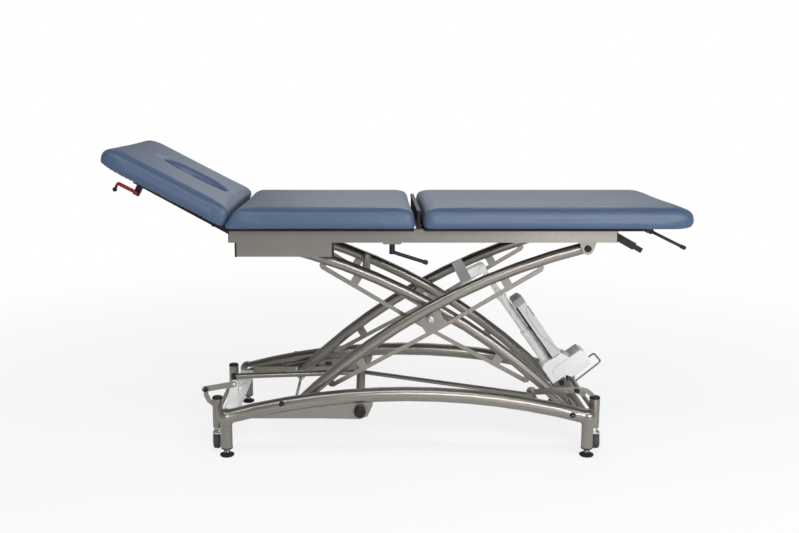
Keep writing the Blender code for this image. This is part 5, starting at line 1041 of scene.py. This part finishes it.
def top_fittings():
    """Caps on the rails and tracks, washers on the hinge pins and screws in the lock lever's flange."""
    hinge, leg = PIVOTS["head_tilt"], PIVOTS["leg_lift"]
    for word, side in SIDES.items():
        low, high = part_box("top_rail_" + word)
        outside = side * max(abs(low[1]), abs(high[1]))
        across = sorted((outside, outside - side * RAIL_WIDTH))
        bottom, top = high[2] - RAIL_HEIGHT, high[2]
        end_cap("rail_cap_left_" + word, low[0], -1, (across[0], bottom), (across[1], top))
        end_cap("rail_cap_right_" + word, high[0], 1, (across[0], bottom), (across[1], top))
        across = sorted((outside, outside - side * TRACK_DEPTH))
        start = low[0] + TRACK_LEFT_INSET
        corners = (across[0], bottom - TRACK_HEIGHT), (across[1], bottom - TRACK_PLAY)
        track_cap("track_cap_left_" + word, start, -1, *corners, side)
        track_cap("track_cap_right_" + word, start + TRACK_LENGTH, 1, *corners, side)
        dome_cap("head_hinge_washer_" + word, "top", hinge + Vector((0, side * HINGE_WASHER_FACE, 0)),
                 (0, -side, 0), *HINGE_WASHER, "zinc")
        dome_cap("leg_hinge_cap_" + word, "top", leg + Vector((0, side * LEG_HINGE_FACE, 0)), (0, side, 0),
                 *LEG_HINGE_CAP, "black_plastic", sink=0.0)
    lock = PIVOTS["lock_turn"]
    for word, shift in (("left", -LOCK_SCREW_SHIFT), ("right", LOCK_SCREW_SHIFT)):
        dome_cap("lock_screw_" + word, "top", lock + Vector((shift, 0, LOCK_SCREW_LIFT)), (0, 0, -1),
                 *LOCK_SCREW, "zinc")


# Fittings on the moving sections
RELEASE_BALL_PLACE = (-0.0698, -0.0148, -0.0240)
RELEASE_BALL = 0.0080
RELEASE_STEM = (0.0042, 0.006)
RELEASE_BALL_STEP = 15
RELEASE_BALL_STEPS = 10
RELEASE_BUTTON = (0.0068, 0.0046)
RELEASE_BUTTON_FACE = 0.0171
SPRING_MOUTHS = {"head": 0.300, "leg": 0.165}
SPRING_COLLAR = (0.0106, 0.0122, 0.008)
SPRING_COLLAR_LAP = 0.006


def section_fittings():
    """The release lever's ball and pivot button, and the gas springs' end collars."""
    turn = Matrix.Rotation(HEAD_TILT, 3, "Y")
    pivot = PIVOTS["head_release"]
    ball = pivot + turn @ Vector(RELEASE_BALL_PLACE)
    radius = RELEASE_BALL
    turns = [math.radians(RELEASE_BALL_STEP * i) for i in range(1, RELEASE_BALL_STEPS + 1)]
    arc = [(radius * math.sin(a), -radius * math.cos(a)) for a in turns]
    thin, long = RELEASE_STEM
    stem = [(thin, radius), (thin, radius + long), (0, radius + long)]
    add_piece("release_ball", lathe(ball, turn @ Vector((0, 0, 1)), [(0, -radius), *arc, *stem]),
              "head_release_lever", "black_plastic")
    dome_cap("release_button", "head_release_lever", pivot + Vector((0, -RELEASE_BUTTON_FACE, 0)), (0, -1, 0),
             *RELEASE_BUTTON, "red_plastic")
    for word, mouth in SPRING_MOUTHS.items():
        line = AXES[word + "_spring_stroke"]
        place = PIVOTS[word + "_spring_foot"] + line * (mouth - SPRING_COLLAR_LAP)
        collar(word + "_spring_collar", word + "_cylinder", place, line, *SPRING_COLLAR, "zinc")


# Stage
def studio():
    """An even white room for light, a graded one for reflections and a white backdrop to see."""
    world = bpy.data.worlds.new("studio")
    bpy.context.scene.world = world
    world.use_nodes = True
    tree = world.node_tree
    light = tree.nodes["Background"]
    light.inputs["Color"].default_value = (1.0, 1.0, 1.0, 1.0)
    light.inputs["Strength"].default_value = ROOM_LIGHT
    path = tree.nodes.new("ShaderNodeLightPath")
    mirrored = over(tree, light.outputs[0], graded_room(tree), path.outputs["Is Glossy Ray"])
    seen = tree.nodes.new("ShaderNodeBackground")
    seen.inputs["Color"].default_value = BACKDROP
    clear = tree.nodes.new("ShaderNodeMath")
    clear.operation = "MAXIMUM"
    tree.links.new(path.outputs["Is Camera Ray"], clear.inputs[0])
    tree.links.new(path.outputs["Is Transmission Ray"], clear.inputs[1])
    whole = over(tree, mirrored, seen.outputs[0], clear.outputs[0])
    tree.links.new(whole, tree.nodes["World Output"].inputs["Surface"])


def over(tree, below, above, share):
    """Mixes two shaders by a share."""
    mix = tree.nodes.new("ShaderNodeMixShader")
    tree.links.new(share, mix.inputs["Fac"])
    tree.links.new(below, mix.inputs[1])
    tree.links.new(above, mix.inputs[2])
    return mix.outputs[0]


def graded_room(tree):
    """A room whose ceiling is dimmer than its walls and floor, for bright and dark bands on the metal."""
    place = tree.nodes.new("ShaderNodeTexCoord")
    split = tree.nodes.new("ShaderNodeSeparateXYZ")
    tree.links.new(place.outputs["Generated"], split.inputs[0])
    ramp = tree.nodes.new("ShaderNodeValToRGB")
    while len(ramp.color_ramp.elements) < len(ROOM_BANDS):
        ramp.color_ramp.elements.new(0.5)
    for element, (height, level) in zip(ramp.color_ramp.elements, ROOM_BANDS):
        element.position = height
        element.color = (level, level, level, 1.0)
    tree.links.new(split.outputs["Z"], ramp.inputs["Fac"])
    room = tree.nodes.new("ShaderNodeBackground")
    tree.links.new(ramp.outputs["Color"], room.inputs["Color"])
    return room.outputs[0]


def floor():
    """A pale floor that shows a faint shadow and fades into the backdrop far away."""
    shape = bmesh.new()
    bmesh.ops.create_grid(shape, x_segments=1, y_segments=1, size=FLOOR_HALF)
    mesh = bpy.data.meshes.new("floor")
    shape.to_mesh(mesh)
    shape.free()
    look = bpy.data.materials.new("pale_floor")
    look.use_nodes = True
    tree = look.node_tree
    shader = tree.nodes["Principled BSDF"]
    shader.inputs["Base Color"].default_value = FLOOR_SHADE
    shader.inputs["Roughness"].default_value = FLOOR_ROUGHNESS
    shader.inputs["Specular IOR Level"].default_value = FLOOR_SPECULAR
    glow = tree.nodes.new("ShaderNodeEmission")
    glow.inputs["Color"].default_value = BACKDROP
    place = tree.nodes.new("ShaderNodeTexCoord")
    away = tree.nodes.new("ShaderNodeVectorMath")
    away.operation = "LENGTH"
    fade = tree.nodes.new("ShaderNodeMapRange")
    fade.interpolation_type = "SMOOTHSTEP"
    fade.inputs["From Min"].default_value = FADE_START
    fade.inputs["From Max"].default_value = FADE_END
    fade.inputs["To Min"].default_value = FLOOR_GLOW
    path = tree.nodes.new("ShaderNodeLightPath")
    share = tree.nodes.new("ShaderNodeMath")
    share.operation = "MULTIPLY"
    tree.links.new(place.outputs["Object"], away.inputs[0])
    tree.links.new(away.outputs["Value"], fade.inputs["Value"])
    tree.links.new(fade.outputs["Result"], share.inputs[0])
    tree.links.new(path.outputs["Is Camera Ray"], share.inputs[1])
    whole = over(tree, shader.outputs[0], glow.outputs[0], share.outputs[0])
    tree.links.new(whole, tree.nodes["Material Output"].inputs["Surface"])
    mesh.materials.append(look)
    obj = bpy.data.objects.new("floor", mesh)
    obj.location.z = -FLOOR_DROP
    bpy.context.scene.collection.objects.link(obj)


def lamp(name, place, target, size, power):
    """A soft box that faces a point."""
    data = bpy.data.lights.new(name, "AREA")
    data.shape = "RECTANGLE"
    data.size, data.size_y = size
    data.energy = power
    obj = bpy.data.objects.new(name, data)
    obj.location = place
    obj.rotation_euler = (Vector(target) - Vector(place)).to_track_quat("-Z", "Y").to_euler()
    obj.visible_camera = False
    bpy.context.scene.collection.objects.link(obj)


def camera():
    """The photograph's point of view."""
    data = bpy.data.cameras.new("camera")
    data.sensor_width = SENSOR_WIDTH
    data.lens = SENSOR_WIDTH * FOCAL_PIXELS / IMAGE_WIDTH
    data.shift_x = (IMAGE_WIDTH / 2 - PRINCIPAL_COLUMN) / IMAGE_WIDTH
    obj = bpy.data.objects.new("camera", data)
    obj.location = CAMERA_PLACE
    obj.rotation_euler = (math.pi / 2 - CAMERA_PITCH, 0.0, 0.0)
    bpy.context.scene.collection.objects.link(obj)
    bpy.context.scene.camera = obj


dress_nodes()
cushions()
base_fittings()
rocker_fittings()
castor_fittings()
lift_fittings()
actuator_fittings()
top_fittings()
section_fittings()
studio()
floor()
for lamp_name, lamp_values in LAMPS.items():
    lamp(lamp_name, *lamp_values)
camera()
bpy.context.scene.view_settings.view_transform = "Standard"
